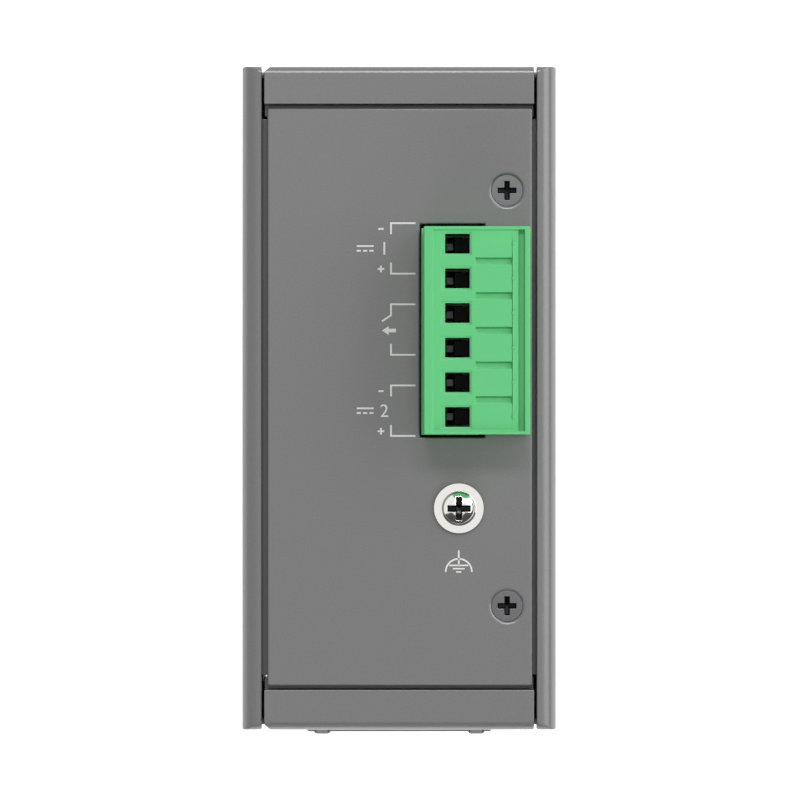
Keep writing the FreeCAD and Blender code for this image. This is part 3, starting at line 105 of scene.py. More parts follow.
# Domes on the plug
DOME_STEPS, DOME_RINGS = 24, 12
DOME_X, DOME_DROP = 2.45 * MM, 0.45 * MM  # from the plug's left side, and below its top

# Latch spring
COIL_STEPS, WIRE_SIDES = 40, 10  # points a turn, and sides of the wire
FLAT_ENDS = 0.35  # share of the rise that starts and ends slowly

# Print: distances from a bracket's middle, its long lines' far ends or a sign
BRACKET_SHIFT = 0.3 * MM
SIGN_X, MINUS_Y, PLUS_Y = 1.5 * MM, 0.85 * MM, 0.7 * MM
BLADE_X, BLADE_Y = 1.35 * MM, 0.9 * MM
ARROW_X, ARROW_Y = 0.75 * MM, 0.15 * MM
DIGIT_X, SUPPLY_X, SUPPLY_LINE = 1.0 * MM, 1.2 * MM, 1.4 * MM
DASHES, DASH, DASH_PITCH, DASH_Y = 3, 0.62 * MM, 0.95 * MM, 0.35 * MM
MINUS_SHARE = 0.4  # half a minus sign, of a plus sign's width
ARROW_SHAPE = (0.48, 0.32, 0.13)  # head, half its width and half the bar, of the length
EARTH_STEM = (1.65, 0.52)  # ends of the stem, of the bow's radius
EARTH_BARS = ((-0.5, 0.72), (-0.25, 0.45), (0.0, 0.2))  # place and half width of each bar
BOW_LINE, BAR_LINE = 0.9, 0.85  # widths of the earth sign's lines, of the other lines'
BOW_POINTS = 33
NUMBER_X = 2.2 * MM  # from the lamps to a socket's number

# Stage, in metres
LAMP_DISTANCE = 2.5
LAMPS = {  # direction from the object, width and height
    "left_lamp": ((-0.8, -0.38, 0.5), (1.5, 3.5)),
    "front_lamp": ((0, -0.54, 0.84), (1.25, 0.4)),
    "rear_lamp": ((0, 0.97, 0.24), (3.0, 1.25)),
}
SENSOR_WIDTH = 36  # millimetres, as cameras have it
CLIP_START, CLIP_END = 0.01, 10
FLOOR_HALF, FLOOR_DROP = 5.0, 0.02 * MM
FLOOR_LIFT = 0.8  # what the floor adds for the camera, so that paper looks white
WALL_RADIUS, WALL_HEIGHT, WALL_POINTS = 4, 5.5, 33
WALL_TURN = (25, 200)  # the dark wall's azimuths, in degrees


# ---------------------------------------------------------------------------------------------
# Colours
# ---------------------------------------------------------------------------------------------


def linear(code):
    """An sRGB hex code as three linear values: each channel is undone by the sRGB curve."""
    channels = [int(code[i:i + 2], 16) / 255 for i in (1, 3, 5)]
    return [c / 12.92 if c <= 0.04045 else ((c + 0.055) / 1.055) ** 2.4 for c in channels]


def colour(name, description, code):
    """A colour property whose default is a hex code."""
    return FloatVectorProperty(
        name=name, description=description, subtype="COLOR", size=3, min=0, max=1,
        default=linear(code),
    )


def length(name, description, millimetres):
    """A length property whose default is given in millimetres."""
    return FloatProperty(
        name=name, description=description, unit="LENGTH", default=millimetres * MM, min=0,
        precision=5,
    )


class SwitchColours(bpy.types.PropertyGroup):
    """Colours of the finishes."""

    paint: colour("Case paint", "Powder coat of the case", "#757575")
    zinc: colour("Zinc plate", "Plated steel of the small screws", "#6C6C6E")
    nickel: colour("Nickel plate", "Bright plate of the ground screw", "#E9E8E4")
    tin: colour("Tin plate", "Plated pins and contact bars", "#6A6A69")
    gold: colour("Gold plate", "Contacts of the sockets", "#E3BC6C")
    shield: colour("Shield steel", "Drawn shields of the sockets", "#B9BBBD")
    cast: colour("Cast zinc", "Rail clip and its latch", "#96979A")
    spring: colour("Spring steel", "Wire of the latch spring", "#8C8C8A")
    anodised: colour("Black anodising", "Heat sink", "#26272A")
    board: colour("Solder mask", "Circuit board", "#1E5A34")
    terminal: colour("Terminal plastic", "Power plug and its header", "#5BC079")
    # Painted shade: the plated cages and contact bars are drawn this dark for the shade in the
    # plug's mouths
    cage: colour("Blackened steel", "Clamp cages of the plug", "#2A2A2B")
    black: colour("Black plastic", "Moulded inserts and chips", "#1B1B1D")
    ferrite: colour("Ferrite", "Pressed cores", "#3A3936")
    clear: colour("Clear plastic", "Light pipe and lamps", "#E4E9E6")
    ink: colour("Ink", "Marks printed on the case", "#DCDCDA")


class SwitchSizes(bpy.types.PropertyGroup):
    """Sizes of the pieces that this file adds."""

    ink_height: length("Ink height", "How far the print stands out", 0.02)
    ink_line: length("Ink line", "Width of a printed line", 0.27)
    bracket_pitch: length("Bracket pitch", "Distance between two printed brackets", 12.1)
    bracket_span: length("Bracket span", "Distance between a bracket's two lines", 7.53)
    bracket_leg: length("Bracket leg", "Length of a bracket's short legs", 1.64)
    bracket_arm: length("Bracket arm", "Length of a bracket's long lines", 3.65)
    bracket_gap: length("Bracket gap", "Distance of the brackets from the terminal", 1.2)
    sign_span: length("Sign span", "Width of a plus or minus sign", 1.0)
    arrow_length: length("Arrow length", "Length of the arrow at the contact's sign", 2.1)
    digit_height: length("Digit height", "Height of the printed numbers", 1.9)
    earth_radius: length("Earth radius", "Radius of the bow over the earth sign", 1.95)
    earth_drop: length("Earth drop", "Distance of the earth sign behind its screw", 9.5)
    cross_span: length("Cross span", "Span of a cross recess at the head's surface", 2.85)
    cross_arm: length("Cross arm", "Width of one arm of a cross recess", 0.84)
    cross_depth: length("Cross depth", "Depth of a cross recess in its middle", 1.1)
    head_dome: length("Head dome", "Rise of the ground screw's head over its rim", 1.35)
    plug_mark: length("Plug mark", "Radius of the small domes beside the wire mouths", 0.3)
    moulded_edge: length("Moulded edge", "Rounding of a moulded edge", 0.12)
    panel_edge: length("Panel edge", "Rounding of a painted sheet's edge", 0.14)
    lid_edge: length("Lid edge", "Rounding of the lids' edges", 0.26)
    cast_edge: length("Cast edge", "Rounding of a cast edge", 0.3)
    spring_wire: length("Spring wire", "Diameter of the latch spring's wire", 0.4)
    spring_turns: FloatProperty(
        name="Spring turns", description="Number of turns of the latch spring", default=8.0,
        min=1,
    )


class SwitchStage(bpy.types.PropertyGroup):
    """Camera and lamps."""

    camera_rise: length("Camera rise", "Height of the camera above the top panel", 470.0)
    camera_x: FloatProperty(
        name="Camera X", description="Place of the camera across the case", unit="LENGTH",
        default=-0.13 * MM, precision=5,
    )
    camera_y: FloatProperty(
        name="Camera Y", description="Place of the camera along the case", unit="LENGTH",
        default=0.26 * MM, precision=5,
    )
    lens: FloatProperty(name="Lens", description="Focal length in millimetres", default=141.8)
    world: FloatProperty(name="World", description="Strength of the even light", default=0.24)
    left_lamp: FloatProperty(name="Left lamp", description="Power in watts", default=50.0)
    front_lamp: FloatProperty(name="Front lamp", description="Power in watts", default=24.0)
    rear_lamp: FloatProperty(name="Rear lamp", description="Power in watts", default=64.0)


# ---------------------------------------------------------------------------------------------
# Materials
# ---------------------------------------------------------------------------------------------


def node(tree, kind, settings=None, inputs=None):
    """Add a shader node: settings are its own values, inputs are numbers or other sockets."""
    made = tree.nodes.new(kind)
    for name, value in (settings or {}).items():
        setattr(made, name, value)
    for name, value in (inputs or {}).items():
        if isinstance(value, bpy.types.NodeSocket):
            tree.links.new(value, made.inputs[name])
        else:
            made.inputs[name].default_value = value
    return made


def rgba(values):
    """Three colour values with full opacity."""
    return (*values, 1.0)


def noise(tree, spacing_mm, detail=2.0, stretch=(1, 1, 1)):
    """Noise whose features repeat about every so many millimetres, on Object coordinates."""
    place = node(tree, "ShaderNodeTexCoord")
    mapped = node(
        tree, "ShaderNodeMapping", None,
        {"Vector": place.outputs["Object"], "Scale": stretch},
    )
    return node(
        tree, "ShaderNodeTexNoise", None,
        {"Vector": mapped.outputs["Vector"], "Scale": 1 / (spacing_mm * MM), "Detail": detail},
    )


def spread(tree, value, low, high):
    """Map noise, which lies mostly between 0.3 and 0.7, to a range."""
    return node(
        tree, "ShaderNodeMapRange", None,
        {"Value": value, "From Min": 0.3, "From Max": 0.7, "To Min": low, "To Max": high},
    ).outputs["Result"]


def bump(tree, height, depth_mm):
    """A bump of a real depth in millimetres."""
    return node(
        tree, "ShaderNodeBump", None, {"Height": height, "Distance": depth_mm * MM},
    ).outputs["Normal"]


def surface(name, settings, build=None):
    """A material with one principled shader: plain settings, then what build links to it."""
    made = bpy.data.materials.new(name)
    made.use_nodes = True
    tree = made.node_tree
    shader = tree.nodes["Principled BSDF"]
    for key, value in settings.items():
        shader.inputs[key].default_value = value
    if build:
        for key, socket in build(tree).items():
            tree.links.new(socket, shader.inputs[key])
    return made


def mix_input(mixed, name):
    """The colour input of a Mix node, which has inputs of the same name for other types."""
    return next(i for i in mixed.inputs if i.name == name and i.type == "RGBA")


def varied(tree, spacing_mm, base, amount, rough, depth_mm, stretch=(1, 1, 1), detail=2.0):
    """Colour, roughness and bump that follow one noise.

    The colour swings by amount to both sides of base, the roughness runs between the two
    values of rough, and depth_mm is the height of the grain.
    """
    grain = noise(tree, spacing_mm, detail, stretch).outputs["Fac"]
    mixed = node(tree, "ShaderNodeMix", {"data_type": "RGBA"})
    tree.links.new(spread(tree, grain, 0, 1), mixed.inputs["Factor"])
    mix_input(mixed, "A").default_value = rgba([c * (1 - amount) for c in base])
    mix_input(mixed, "B").default_value = rgba([min(1.0, c * (1 + amount)) for c in base])
    result = next(o for o in mixed.outputs if o.type == "RGBA")
    return {
        "Base Color": result,
        "Roughness": spread(tree, grain, *rough),
        "Normal": bump(tree, grain, depth_mm),
    }


def darker_recess(tree, finish_inputs):
    """Paint shade into the colour where a point lies in a cross recess."""
    mark = node(tree, "ShaderNodeAttribute", {"attribute_name": "recess"})
    mixed = node(tree, "ShaderNodeMix", {"data_type": "RGBA"}, {"Factor": mark.outputs["Fac"]})
    tree.links.new(finish_inputs["Base Color"], mix_input(mixed, "A"))
    mix_input(mixed, "B").default_value = rgba(linear(RECESS_SHADE_COLOUR))
    finish_inputs["Base Color"] = next(o for o in mixed.outputs if o.type == "RGBA")
    return finish_inputs


def darker_crevice(tree, finish_inputs):
    """Paint shade into the colour in folds and seams: darker where other faces are near."""
    near = node(
        tree, "ShaderNodeAmbientOcclusion", {"samples": PAINTED_SHADE_SAMPLES},
        {"Distance": PAINTED_SHADE_REACH},
    )
    mixed = node(
        tree, "ShaderNodeMix", {"data_type": "RGBA", "blend_type": "MULTIPLY"},
        {"Factor": PAINTED_SHADE_SHARE},
    )
    full, none = PAINTED_SHADE_OPEN
    shade = node(
        tree, "ShaderNodeMapRange", None,
        {"Value": near.outputs["AO"], "From Min": full, "From Max": none,
         "To Min": PAINTED_SHADE_DARK},
    )
    tree.links.new(finish_inputs["Base Color"], mix_input(mixed, "A"))
    tree.links.new(shade.outputs["Result"], mix_input(mixed, "B"))
    finish_inputs["Base Color"] = next(o for o in mixed.outputs if o.type == "RGBA")
    return finish_inputs


def powder_coat(base):
    """Polyester powder, sprayed dry and baked: a satin skin with a fine, even pebble."""
    # The pebble of a fine powder is near 0.3 mm across and a few micrometres deep. A plain
    # powder has no metallic value: this one is matched, for the broad sheen of the sheets.
    return surface(
        "powder_coat_baked", {"IOR": 1.5, "Metallic": 0.35},
        # The case paint gets painted shade in its folds and seams
        lambda tree: darker_crevice(
            tree, varied(tree, 0.3, base, 0.05, (0.29, 0.34), 0.003, detail=3.0),
        ),
    )


def zinc_plate(base):
    """Steel, cold headed and zinc plated: a dull grey metal with soft reflections."""
    return surface(
        "steel_zinc_plated", {"Metallic": 1.0},
        # The cross recesses get painted shade
        lambda tree: darker_recess(
            tree, varied(tree, 0.25, base, 0.04, (0.42, 0.5), 0.002),
        ),
    )


def nickel_plate(base):
    """Steel, plated with bright nickel: a clear mirror with faint waves."""
    return surface(
        "steel_bright_nickel", {"Metallic": 1.0},
        # The cross recesses get painted shade
        lambda tree: darker_recess(
            tree, varied(tree, 0.6, base, 0.02, (0.1, 0.16), 0.002),
        ),
    )


def tin_plate(base):
    """Copper alloy, stamped and tinned: a soft white metal with rolling lines."""
    return surface(
        "copper_alloy_tinned", {"Metallic": 1.0},
        lambda tree: varied(tree, 0.4, base, 0.06, (0.3, 0.4), 0.002, (1, 1, 0.2)),
    )


def gold_plate(base):
    """Phosphor bronze spring, gold plated where the plug touches: a warm mirror."""
    return surface(
        "bronze_gold_plated", {"Metallic": 1.0},
        lambda tree: varied(tree, 0.3, base, 0.04, (0.18, 0.26), 0.001),
    )


def drawn_steel(base):
    """Steel sheet, stamped and nickel plated: bright, with fine rolling lines along Z."""
    return surface(
        "steel_sheet_stamped", {"Metallic": 1.0},
        lambda tree: varied(tree, 0.2, base, 0.05, (0.24, 0.34), 0.002, (1, 1, 0.08)),
    )


def cast_zinc(base):
    """Zinc alloy, die cast and tumbled: an even grey with a soft, slightly wavy skin."""
    return surface(
        "zinc_die_cast", {"Metallic": 1.0},
        lambda tree: varied(tree, 0.7, base, 0.06, (0.42, 0.52), 0.008, detail=4.0),
    )


def spring_steel(base):
    """Music wire, drawn and oiled: a dark smooth metal."""
    return surface(
        "wire_drawn_steel", {"Metallic": 1.0},
        lambda tree: varied(tree, 0.3, base, 0.05, (0.25, 0.32), 0.001),
    )


def black_anodised(base):
    """Aluminium, extruded and black anodised: a deep satin with draw lines along the fins."""
    return surface(
        "aluminium_black_anodised", {"Metallic": 1.0},
        lambda tree: varied(tree, 0.3, base, 0.1, (0.38, 0.46), 0.003, (1, 1, 0.06)),
    )


def solder_mask(base):
    """Glass-fibre laminate under cured green mask: glossy, with a faint weave."""
    return surface(
        "laminate_solder_mask", {"IOR": 1.55},
        lambda tree: varied(tree, 0.8, base, 0.15, (0.25, 0.35), 0.004),
    )


def terminal_plastic(base):
    """Polyamide, moulded in a sparked tool: a satin green skin."""
    return surface(
        "polyamide_moulded_green", {"IOR": 1.53},
        lambda tree: varied(tree, 0.15, base, 0.025, (0.36, 0.44), 0.002, detail=3.0),
    )


def black_plastic(base):
    """Glass-filled plastic, moulded black: a dry satin."""
    return surface(
        "thermoplastic_moulded_black", {"IOR": 1.55},
        lambda tree: varied(tree, 0.2, base, 0.12, (0.4, 0.5), 0.003),
    )


def pressed_ferrite(base):
    """Ferrite powder, pressed and fired: matt and slightly rough."""
    return surface(
        "ferrite_pressed", {"IOR": 1.6},
        lambda tree: varied(tree, 0.3, base, 0.15, (0.6, 0.7), 0.006),
    )


def clear_plastic(base):
    """Polycarbonate, moulded clear with a frosted tip: milky, with a soft shine."""
    return surface(
        "polycarbonate_frosted", {"IOR": 1.58, "Transmission Weight": 0.6},
        lambda tree: varied(tree, 0.3, base, 0.03, (0.25, 0.35), 0.002),
    )


def blackened_steel(base):
    """Steel strip, stamped, drawn dark as painted shade: dark, with a dull metallic skin."""
    return surface(
        "steel_blackened", {"Metallic": 1.0},
        lambda tree: varied(tree, 0.3, base, 0.1, (0.5, 0.6), 0.002),
    )


def screen_ink(base):
    """Two-part ink, screen printed: flat white with a slightly open grain."""
    return surface(
        "ink_screen_printed", {"IOR": 1.5},
        lambda tree: varied(tree, 0.15, base, 0.05, (0.5, 0.6), 0.002),
    )


FINISHES = {
    "case_paint": (powder_coat, "paint"),
    "zinc_steel": (zinc_plate, "zinc"),
    "nickel_plate": (nickel_plate, "nickel"),
    "tin_plate": (tin_plate, "tin"),
    "gold_plate": (gold_plate, "gold"),
    "shield_steel": (drawn_steel, "shield"),
    "cast_zinc": (cast_zinc, "cast"),
    "spring_steel": (spring_steel, "spring"),
    "black_anodised": (black_anodised, "anodised"),
    "board_laminate": (solder_mask, "board"),
    "terminal_plastic": (terminal_plastic, "terminal"),
    "black_plastic": (black_plastic, "black"),
    "ferrite": (pressed_ferrite, "ferrite"),
    "clear_plastic": (clear_plastic, "clear"),
    "ink": (screen_ink, "ink"),
    "cage": (blackened_steel, "cage"),
}
# The cages and the contact bars lie deep in the plug's black mouths. Their slots say plated
# metal, but they are drawn in dark steel as painted shade, so that the mouths stay as dark as
# they look.
CAGES = [name for name in NODES if name.startswith("clamp_cage_")]
LOOKS = {name: "cage" for name in (*CAGES, "plug_contacts")}
made_finishes = {}


def finish(slot):
    """The material of a slot, made when it is first asked for."""
    if slot not in made_finishes:
        build, colour_name = FINISHES[slot]
        made_finishes[slot] = build(getattr(bpy.context.scene.switch_colours, colour_name))
    return made_finishes[slot]


def paint_node(name):
    """Give a CAD node the material of its slot."""
    for slot in NODES[name].material_slots:
        slot.material = finish(LOOKS.get(name, SLOTS[name]))


# ---------------------------------------------------------------------------------------------
# Meshes
# ---------------------------------------------------------------------------------------------


def mesh_object(name, points, faces, smooth=True):
    """An object at the origin from arrays of points and faces."""
    mesh = bpy.data.meshes.new(name)
    mesh.from_pydata(np.asarray(points).tolist(), [], [list(map(int, face)) for face in faces])
    mesh.update()
    if smooth:
        mesh.shade_smooth()
    made = bpy.data.objects.new(name, mesh)
    bpy.context.scene.collection.objects.link(made)
    return made


def turned_faces(rings, steps):
    """Faces of a closed surface of rings between two poles, as rows of point numbers.

    Point 0 is the pole at the start, then come rings * steps points, then the other pole.
    Each quad joins two neighbours of a ring to the two beside them on the next ring.
    """
    ring, step = np.meshgrid(np.arange(rings - 1), np.arange(steps), indexing="ij")
    here = 1 + ring * steps + step
    beside = 1 + ring * steps + (step + 1) % steps
    quads = np.stack([here, here + steps, beside + steps, beside], axis=-1).reshape(-1, 4)
    around, beyond = np.arange(steps), (np.arange(steps) + 1) % steps
    last = 1 + (rings - 1) * steps
    start = np.stack([np.full(steps, 0), 1 + around, 1 + beyond], axis=-1)
    end = np.stack([np.full(steps, last + steps), last + beyond, last + around], axis=-1)
    return quads.tolist() + start.tolist() + end.tolist()


def swept_tube(points, radius, sides):
    """A closed tube round a line: each ring lies across the line's direction there.

    The ring's two axes are the cross products of the direction with the coil's own Z axis.
    """
    way = np.gradient(points, axis=0)
    way /= np.linalg.norm(way, axis=1, keepdims=True)
    across = np.cross(way, [0, 0, 1])
    across /= np.linalg.norm(across, axis=1, keepdims=True)
    up = np.cross(across, way)
    turn = np.linspace(0, 2 * np.pi, sides, endpoint=False)
    rings = (
        points[:, None]
        + radius * np.cos(turn)[None, :, None] * across[:, None]
        + radius * np.sin(turn)[None, :, None] * up[:, None]
    )
    return np.vstack([points[:1], rings.reshape(-1, 3), points[-1:]])


def smooth_step(value):
    """0 below 0, 1 above 1, and 3v^2 - 2v^3 between."""
    value = np.clip(value, 0, 1)
    return value * value * (3 - 2 * value)


def cross_recess(x, y, span, arm, depth):
    """Depth of a cross recess at points of a head.

    The distance inside a plus sign is the larger of the distances inside its two bars. The
    wall falls over a share of the arm's width, and the floor slopes down to the middle.
    """
    x, y = np.abs(x), np.abs(y)
    along = np.minimum(span / 2 - x, arm / 2 - y)
    across = np.minimum(arm / 2 - x, span / 2 - y)
    inside = np.maximum(along, across)
    slope = 1 - CROSS_SLOPE * np.clip(np.maximum(x, y) / (span / 2), 0, 1)
    return depth * slope * smooth_step(inside / (arm * CROSS_WALL))


def screw(head, rim, body, length, dome, cross):
    """Points, faces and recess of a screw that points down, its head's top at the origin.

    The head's top is a surface of radius and angle: a cap that falls by dome towards the rim,
    mostly with the square of the radius and at the rim with a high power of it, less the
    recess. Below it come the head's rim, its underside down to the shank and the shank with a
    thread, a saw-tooth wave that turns once for each pitch. The recess is 0 on the plain head
    and 1 at the bottom of the cross.
    """
    turn = np.linspace(0, 2 * np.pi, SCREW_STEPS, endpoint=False)[None, :]
    radius = head * np.sin(np.linspace(0, 0.5 * np.pi, CAP_RINGS + 1)[1:, None])
    x, y = radius * np.cos(turn), radius * np.sin(turn)
    share = radius / head
    cap = CAP_BOW * share**2 + (1 - CAP_BOW) * share**CAP_POWER
    top = -dome * cap - cross_recess(x, y, *cross)
    rows = [np.stack([x, y, top + 0 * x], axis=-1)]
    for side_radius, height in rim:
        rows.append(ring_row(side_radius, height, turn))
    pitch = body * THREAD_PITCH
    shank = np.linspace(rim[-1][1], -length, int(length / pitch * PITCH_RINGS))[1:, None]
    phase = (shank / pitch + turn / (2 * np.pi)) % 1
    wave = body - THREAD_DEPTH * body * np.abs(phase * 2 - 1)
    rows.append(np.stack([wave * np.cos(turn), wave * np.sin(turn), shank + 0 * turn], axis=-1))
    grid = np.concatenate(rows)
    middle = -cross_recess(np.zeros(1), np.zeros(1), *cross)[0]
    points = np.vstack([[[0, 0, middle]], grid.reshape(-1, 3), [[0, 0, -length]]])
    recess = np.zeros(len(points))
    sunk = cross_recess(x, y, *cross).ravel() / cross[2]
    recess[0], recess[1:len(sunk) + 1] = 1, np.clip(sunk * RECESS_MARK, 0, 1)
    return points, turned_faces(len(grid), SCREW_STEPS), recess


def ring_row(radius, height, turn):
    """One ring of points at a radius and a height."""
    flat = np.full_like(turn, height)
    return np.stack([radius * np.cos(turn), radius * np.sin(turn), flat], axis=-1)


def line_mesh(path, width, low, high):
    """Points and faces of a bar of one width that follows a line on the panel.

    Its sides are the line moved half the width to each side along the mean of the two
    directions' normals, lengthened by one over the cosine of half the turn.
    """
    path = np.asarray(path, float)
    way = np.diff(path, axis=0)
    way /= np.linalg.norm(way, axis=1, keepdims=True)
    normal = np.stack([-way[:, 1], way[:, 0]], axis=-1)
    before, after = np.vstack([normal[:1], normal]), np.vstack([normal, normal[-1:]])
    mean = before + after
    mean /= np.sum(mean * before, axis=1, keepdims=True)
    sides = [path - mean * width / 2, (path + mean * width / 2)[::-1]]
    return prism(np.vstack(sides), low, high)


def prism(outline, low, high):
    """Points and faces of a flat plate with an outline: two copies of it and a wall between."""
    outline = np.asarray(outline, float)
    count = len(outline)
    area = np.sum(outline[:, 0] * np.roll(outline[:, 1], -1))
    area -= np.sum(outline[:, 1] * np.roll(outline[:, 0], -1))
    if area < 0:
        outline = outline[::-1]
    points = np.vstack([
        np.column_stack([outline, np.full(count, low)]),
        np.column_stack([outline, np.full(count, high)]),
    ])
    here = np.arange(count)
    beyond = (here + 1) % count
    wall = np.stack([here, beyond, count + beyond, count + here], axis=-1)
    return points, [here[::-1].tolist(), (count + here).tolist()] + wall.tolist()


def mark_recess(piece, values):
    """Store how deep each point lies in a cross recess, for the finish to darken as painted
    shade.
    """
    mark = piece.data.attributes.new("recess", "FLOAT", "POINT")
    mark.data.foreach_set("value", np.asarray(values, np.float32))


def joined(shapes):
    """One list of points and faces from several."""
    points, faces, start = [], [], 0
    for shape_points, shape_faces in shapes:
        points.append(shape_points)
        faces += [[start + i for i in face] for face in shape_faces]
        start += len(shape_points)
    return np.vstack(points), faces


def written(text, height, middle, upright, across, lift):
    """Points and faces of a number: a font outline, filled, with its middle at a point.

    Upright and across are the directions in which the number stands and runs, and lift is
    how far it stands out of its surface, along the cross product of across and upright.
    """
    curve = bpy.data.curves.new("number", "FONT")
    curve.body, curve.size, curve.extrude = text, 1.0, 0.5
    holder = bpy.data.objects.new("number", curve)
    flat = bpy.data.meshes.new_from_object(holder)
    bpy.data.objects.remove(holder)
    points = np.empty(len(flat.vertices) * 3)
    flat.vertices.foreach_get("co", points)
    points = points.reshape(-1, 3)
    faces = [list(face.vertices) for face in flat.polygons]
    low, high = points.min(axis=0), points.max(axis=0)
    points = (points - (low + high) / 2) / (high[1] - low[1])
    points[:, 2] = np.where(points[:, 2] > 0, 1, 0)
    upright, across = np.array(upright, float), np.array(across, float)
    axes = np.stack([across * height, upright * height, np.cross(across, upright) * lift])
    bpy.data.meshes.remove(flat)
    return points @ axes + np.array(middle), faces


def body_of_node(name):
    """The body that carries a CAD node."""
    bodies = frame["record"]["behaviour"]["bodies"]
    return next(body for body, members in bodies.items() if name in members)


def stand_for(piece, name, rides=True):
    """Let a piece ride and look as a CAD node does, and replace it."""
    if rides:
        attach(piece, body_of_node(name))
    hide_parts(name)
    piece.data.materials.clear()
    piece.data.materials.append(finish(LOOKS.get(name, SLOTS[name])))


def eased_copy(name, edge, segments=2, split=True):
    """A copy of a CAD node with small rounded edges, which catch the light as real ones do."""
    mesh = bmesh.new()
    mesh.from_mesh(NODES[name].data)
    bmesh.ops.remove_doubles(mesh, verts=mesh.verts, dist=MERGE_DISTANCE)
    bmesh.ops.dissolve_limit(
        mesh, angle_limit=FLAT_ANGLE, verts=mesh.verts, edges=mesh.edges,
    )
    if split:
        large = [face for face in mesh.faces if len(face.verts) > 4]
        bmesh.ops.triangulate(mesh, faces=large)
    copied = bpy.data.meshes.new(name + "_eased")
    mesh.to_mesh(copied)
    mesh.free()
    copied.shade_smooth()
    piece = bpy.data.objects.new(name + "_eased", copied)
    bpy.context.scene.collection.objects.link(piece)
    bevel = piece.modifiers.new("Edges", "BEVEL")
    bevel.width = edge
    bevel.segments = segments
    bevel.limit_method = "ANGLE"
    bevel.angle_limit = EDGE_ANGLE
    bevel.use_clamp_overlap = False
    bevel.loop_slide = False
    bevel.face_strength_mode = "FSTR_ALL"
    # The flat faces keep their own normals, and the rounded edges turn between them.
    level = piece.modifiers.new("Normals", "WEIGHTED_NORMAL")
    level.use_face_influence = True
    stand_for(piece, name)


# ---------------------------------------------------------------------------------------------
# Operators
# ---------------------------------------------------------------------------------------------


class PieceOperator:
    """What the operators share."""

    bl_options = {"REGISTER", "UNDO"}

    def execute(self, context):
        self.build(context.scene)
        return {"FINISHED"}


class SWITCH_OT_finishes(PieceOperator, bpy.types.Operator):
    """Give every CAD node the material of its slot"""

    bl_idname = "switch.finishes"
    bl_label = "Finishes"

    def build(self, scene):
        for name in NODES:
            paint_node(name)


class SWITCH_OT_edges(PieceOperator, bpy.types.Operator):
    """Ease the edges of the sheets, the mouldings and the castings"""

    bl_idname = "switch.edges"
    bl_label = "Eased edges"

    def build(self, scene):
        sizes = scene.switch_sizes
        for name in ("top_panel", "bottom_panel"):
            eased_copy(name, sizes.lid_edge, split=False)
        for name in ("left_cover", "right_cover", "front_plate", "rear_plate"):
            eased_copy(name, sizes.panel_edge)
        for name in ("terminal_plug", "terminal_header"):
            eased_copy(name, sizes.moulded_edge)
        for name in ("rail_clip", "rail_latch"):
            eased_copy(name, sizes.cast_edge, 3)
        for number in SOCKETS:
            eased_copy(f"port_shield_{number}", sizes.moulded_edge / 2)
            eased_copy(f"port_insert_{number}", sizes.moulded_edge)


class SWITCH_OT_screws(PieceOperator, bpy.types.Operator):
    """Turn the screws with their domed or flat heads, cross recesses and threads"""

    bl_idname = "switch.screws"
    bl_label = "Screws"

    def build(self, scene):
        sizes = scene.switch_sizes
        cross = (sizes.cross_span, sizes.cross_arm, sizes.cross_depth)
        self.flat_group("top_screws", cross, self.places_along("top_screws"), "down")
        self.flat_group("bottom_screws", cross, self.places_along("bottom_screws"), "up")
        self.flat_group("clip_screws", cross, self.clip_places(), "forward")
        low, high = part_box("ground_screw")
        head = (high[0] - low[0]) / 2
        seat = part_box("ground_washer")[1][2]
        rise, body = high[2] - seat, head * GROUND_BODY
        edge = sizes.head_dome
        rim = [(head, -edge - GROUND_RIM), (head, -rise), (body, -rise)]
        larger = [value * factor for value, factor in zip(cross, GROUND_CROSS)]
        points, faces, recess = screw(head, rim, body, high[2] - low[2], edge, larger)
        points += [(low[0] + high[0]) / 2, (low[1] + high[1]) / 2, high[2]]
        piece = mesh_object("ground_screw_turned", points, faces)
        mark_recess(piece, recess)
        stand_for(piece, "ground_screw")

    def places_along(self, name):
        """The two heads of a lid's screws lie at the two ends of their node's box."""
        low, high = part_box(name)
        radius = (high[0] - low[0]) / 2
        return [(low[0] + radius, y) for y in (low[1] + radius, high[1] - radius)]

    def clip_places(self):
        """The clip has two screws side by side above and one in the middle below."""
        low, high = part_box("clip_screws")
        radius = self.head_radius()
        upper = high[2] - radius
        middle = (low[0] + high[0]) / 2
        return [(low[0] + radius, upper), (high[0] - radius, upper), (middle, low[2] + radius)]

    def head_radius(self):
        """Radius of a countersunk head, which is the same in every group."""
        low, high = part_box("top_screws")
        return (high[0] - low[0]) / 2

    def flat_group(self, name, cross, places, way):
        """Countersunk screws of one node: the head's cone is as steep as it is high."""
        low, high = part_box(name)
        head = self.head_radius()
        body = head * FLAT_BODY
        axis = 1 if way == "forward" else 2
        rim = [(head, -FLAT_RIM), (body, -(head - body))]
        points, faces, recess = screw(
            head - FLAT_INSET, rim, body, high[axis] - low[axis], FLAT_DOME, cross,
        )
        shapes = []
        for across, along in places:
            if way == "down":
                moved = points + [across, along, high[2]]
            elif way == "up":
                moved = points * [1, -1, -1] + [across, along, low[2]]
            else:
                moved = points[:, [0, 2, 1]] * [-1, 1, 1] + [across, high[1], along]
            shapes.append((moved, faces))
        piece = mesh_object(name + "_turned", *joined(shapes))
        mark_recess(piece, np.tile(recess, len(places)))
        stand_for(piece, name)


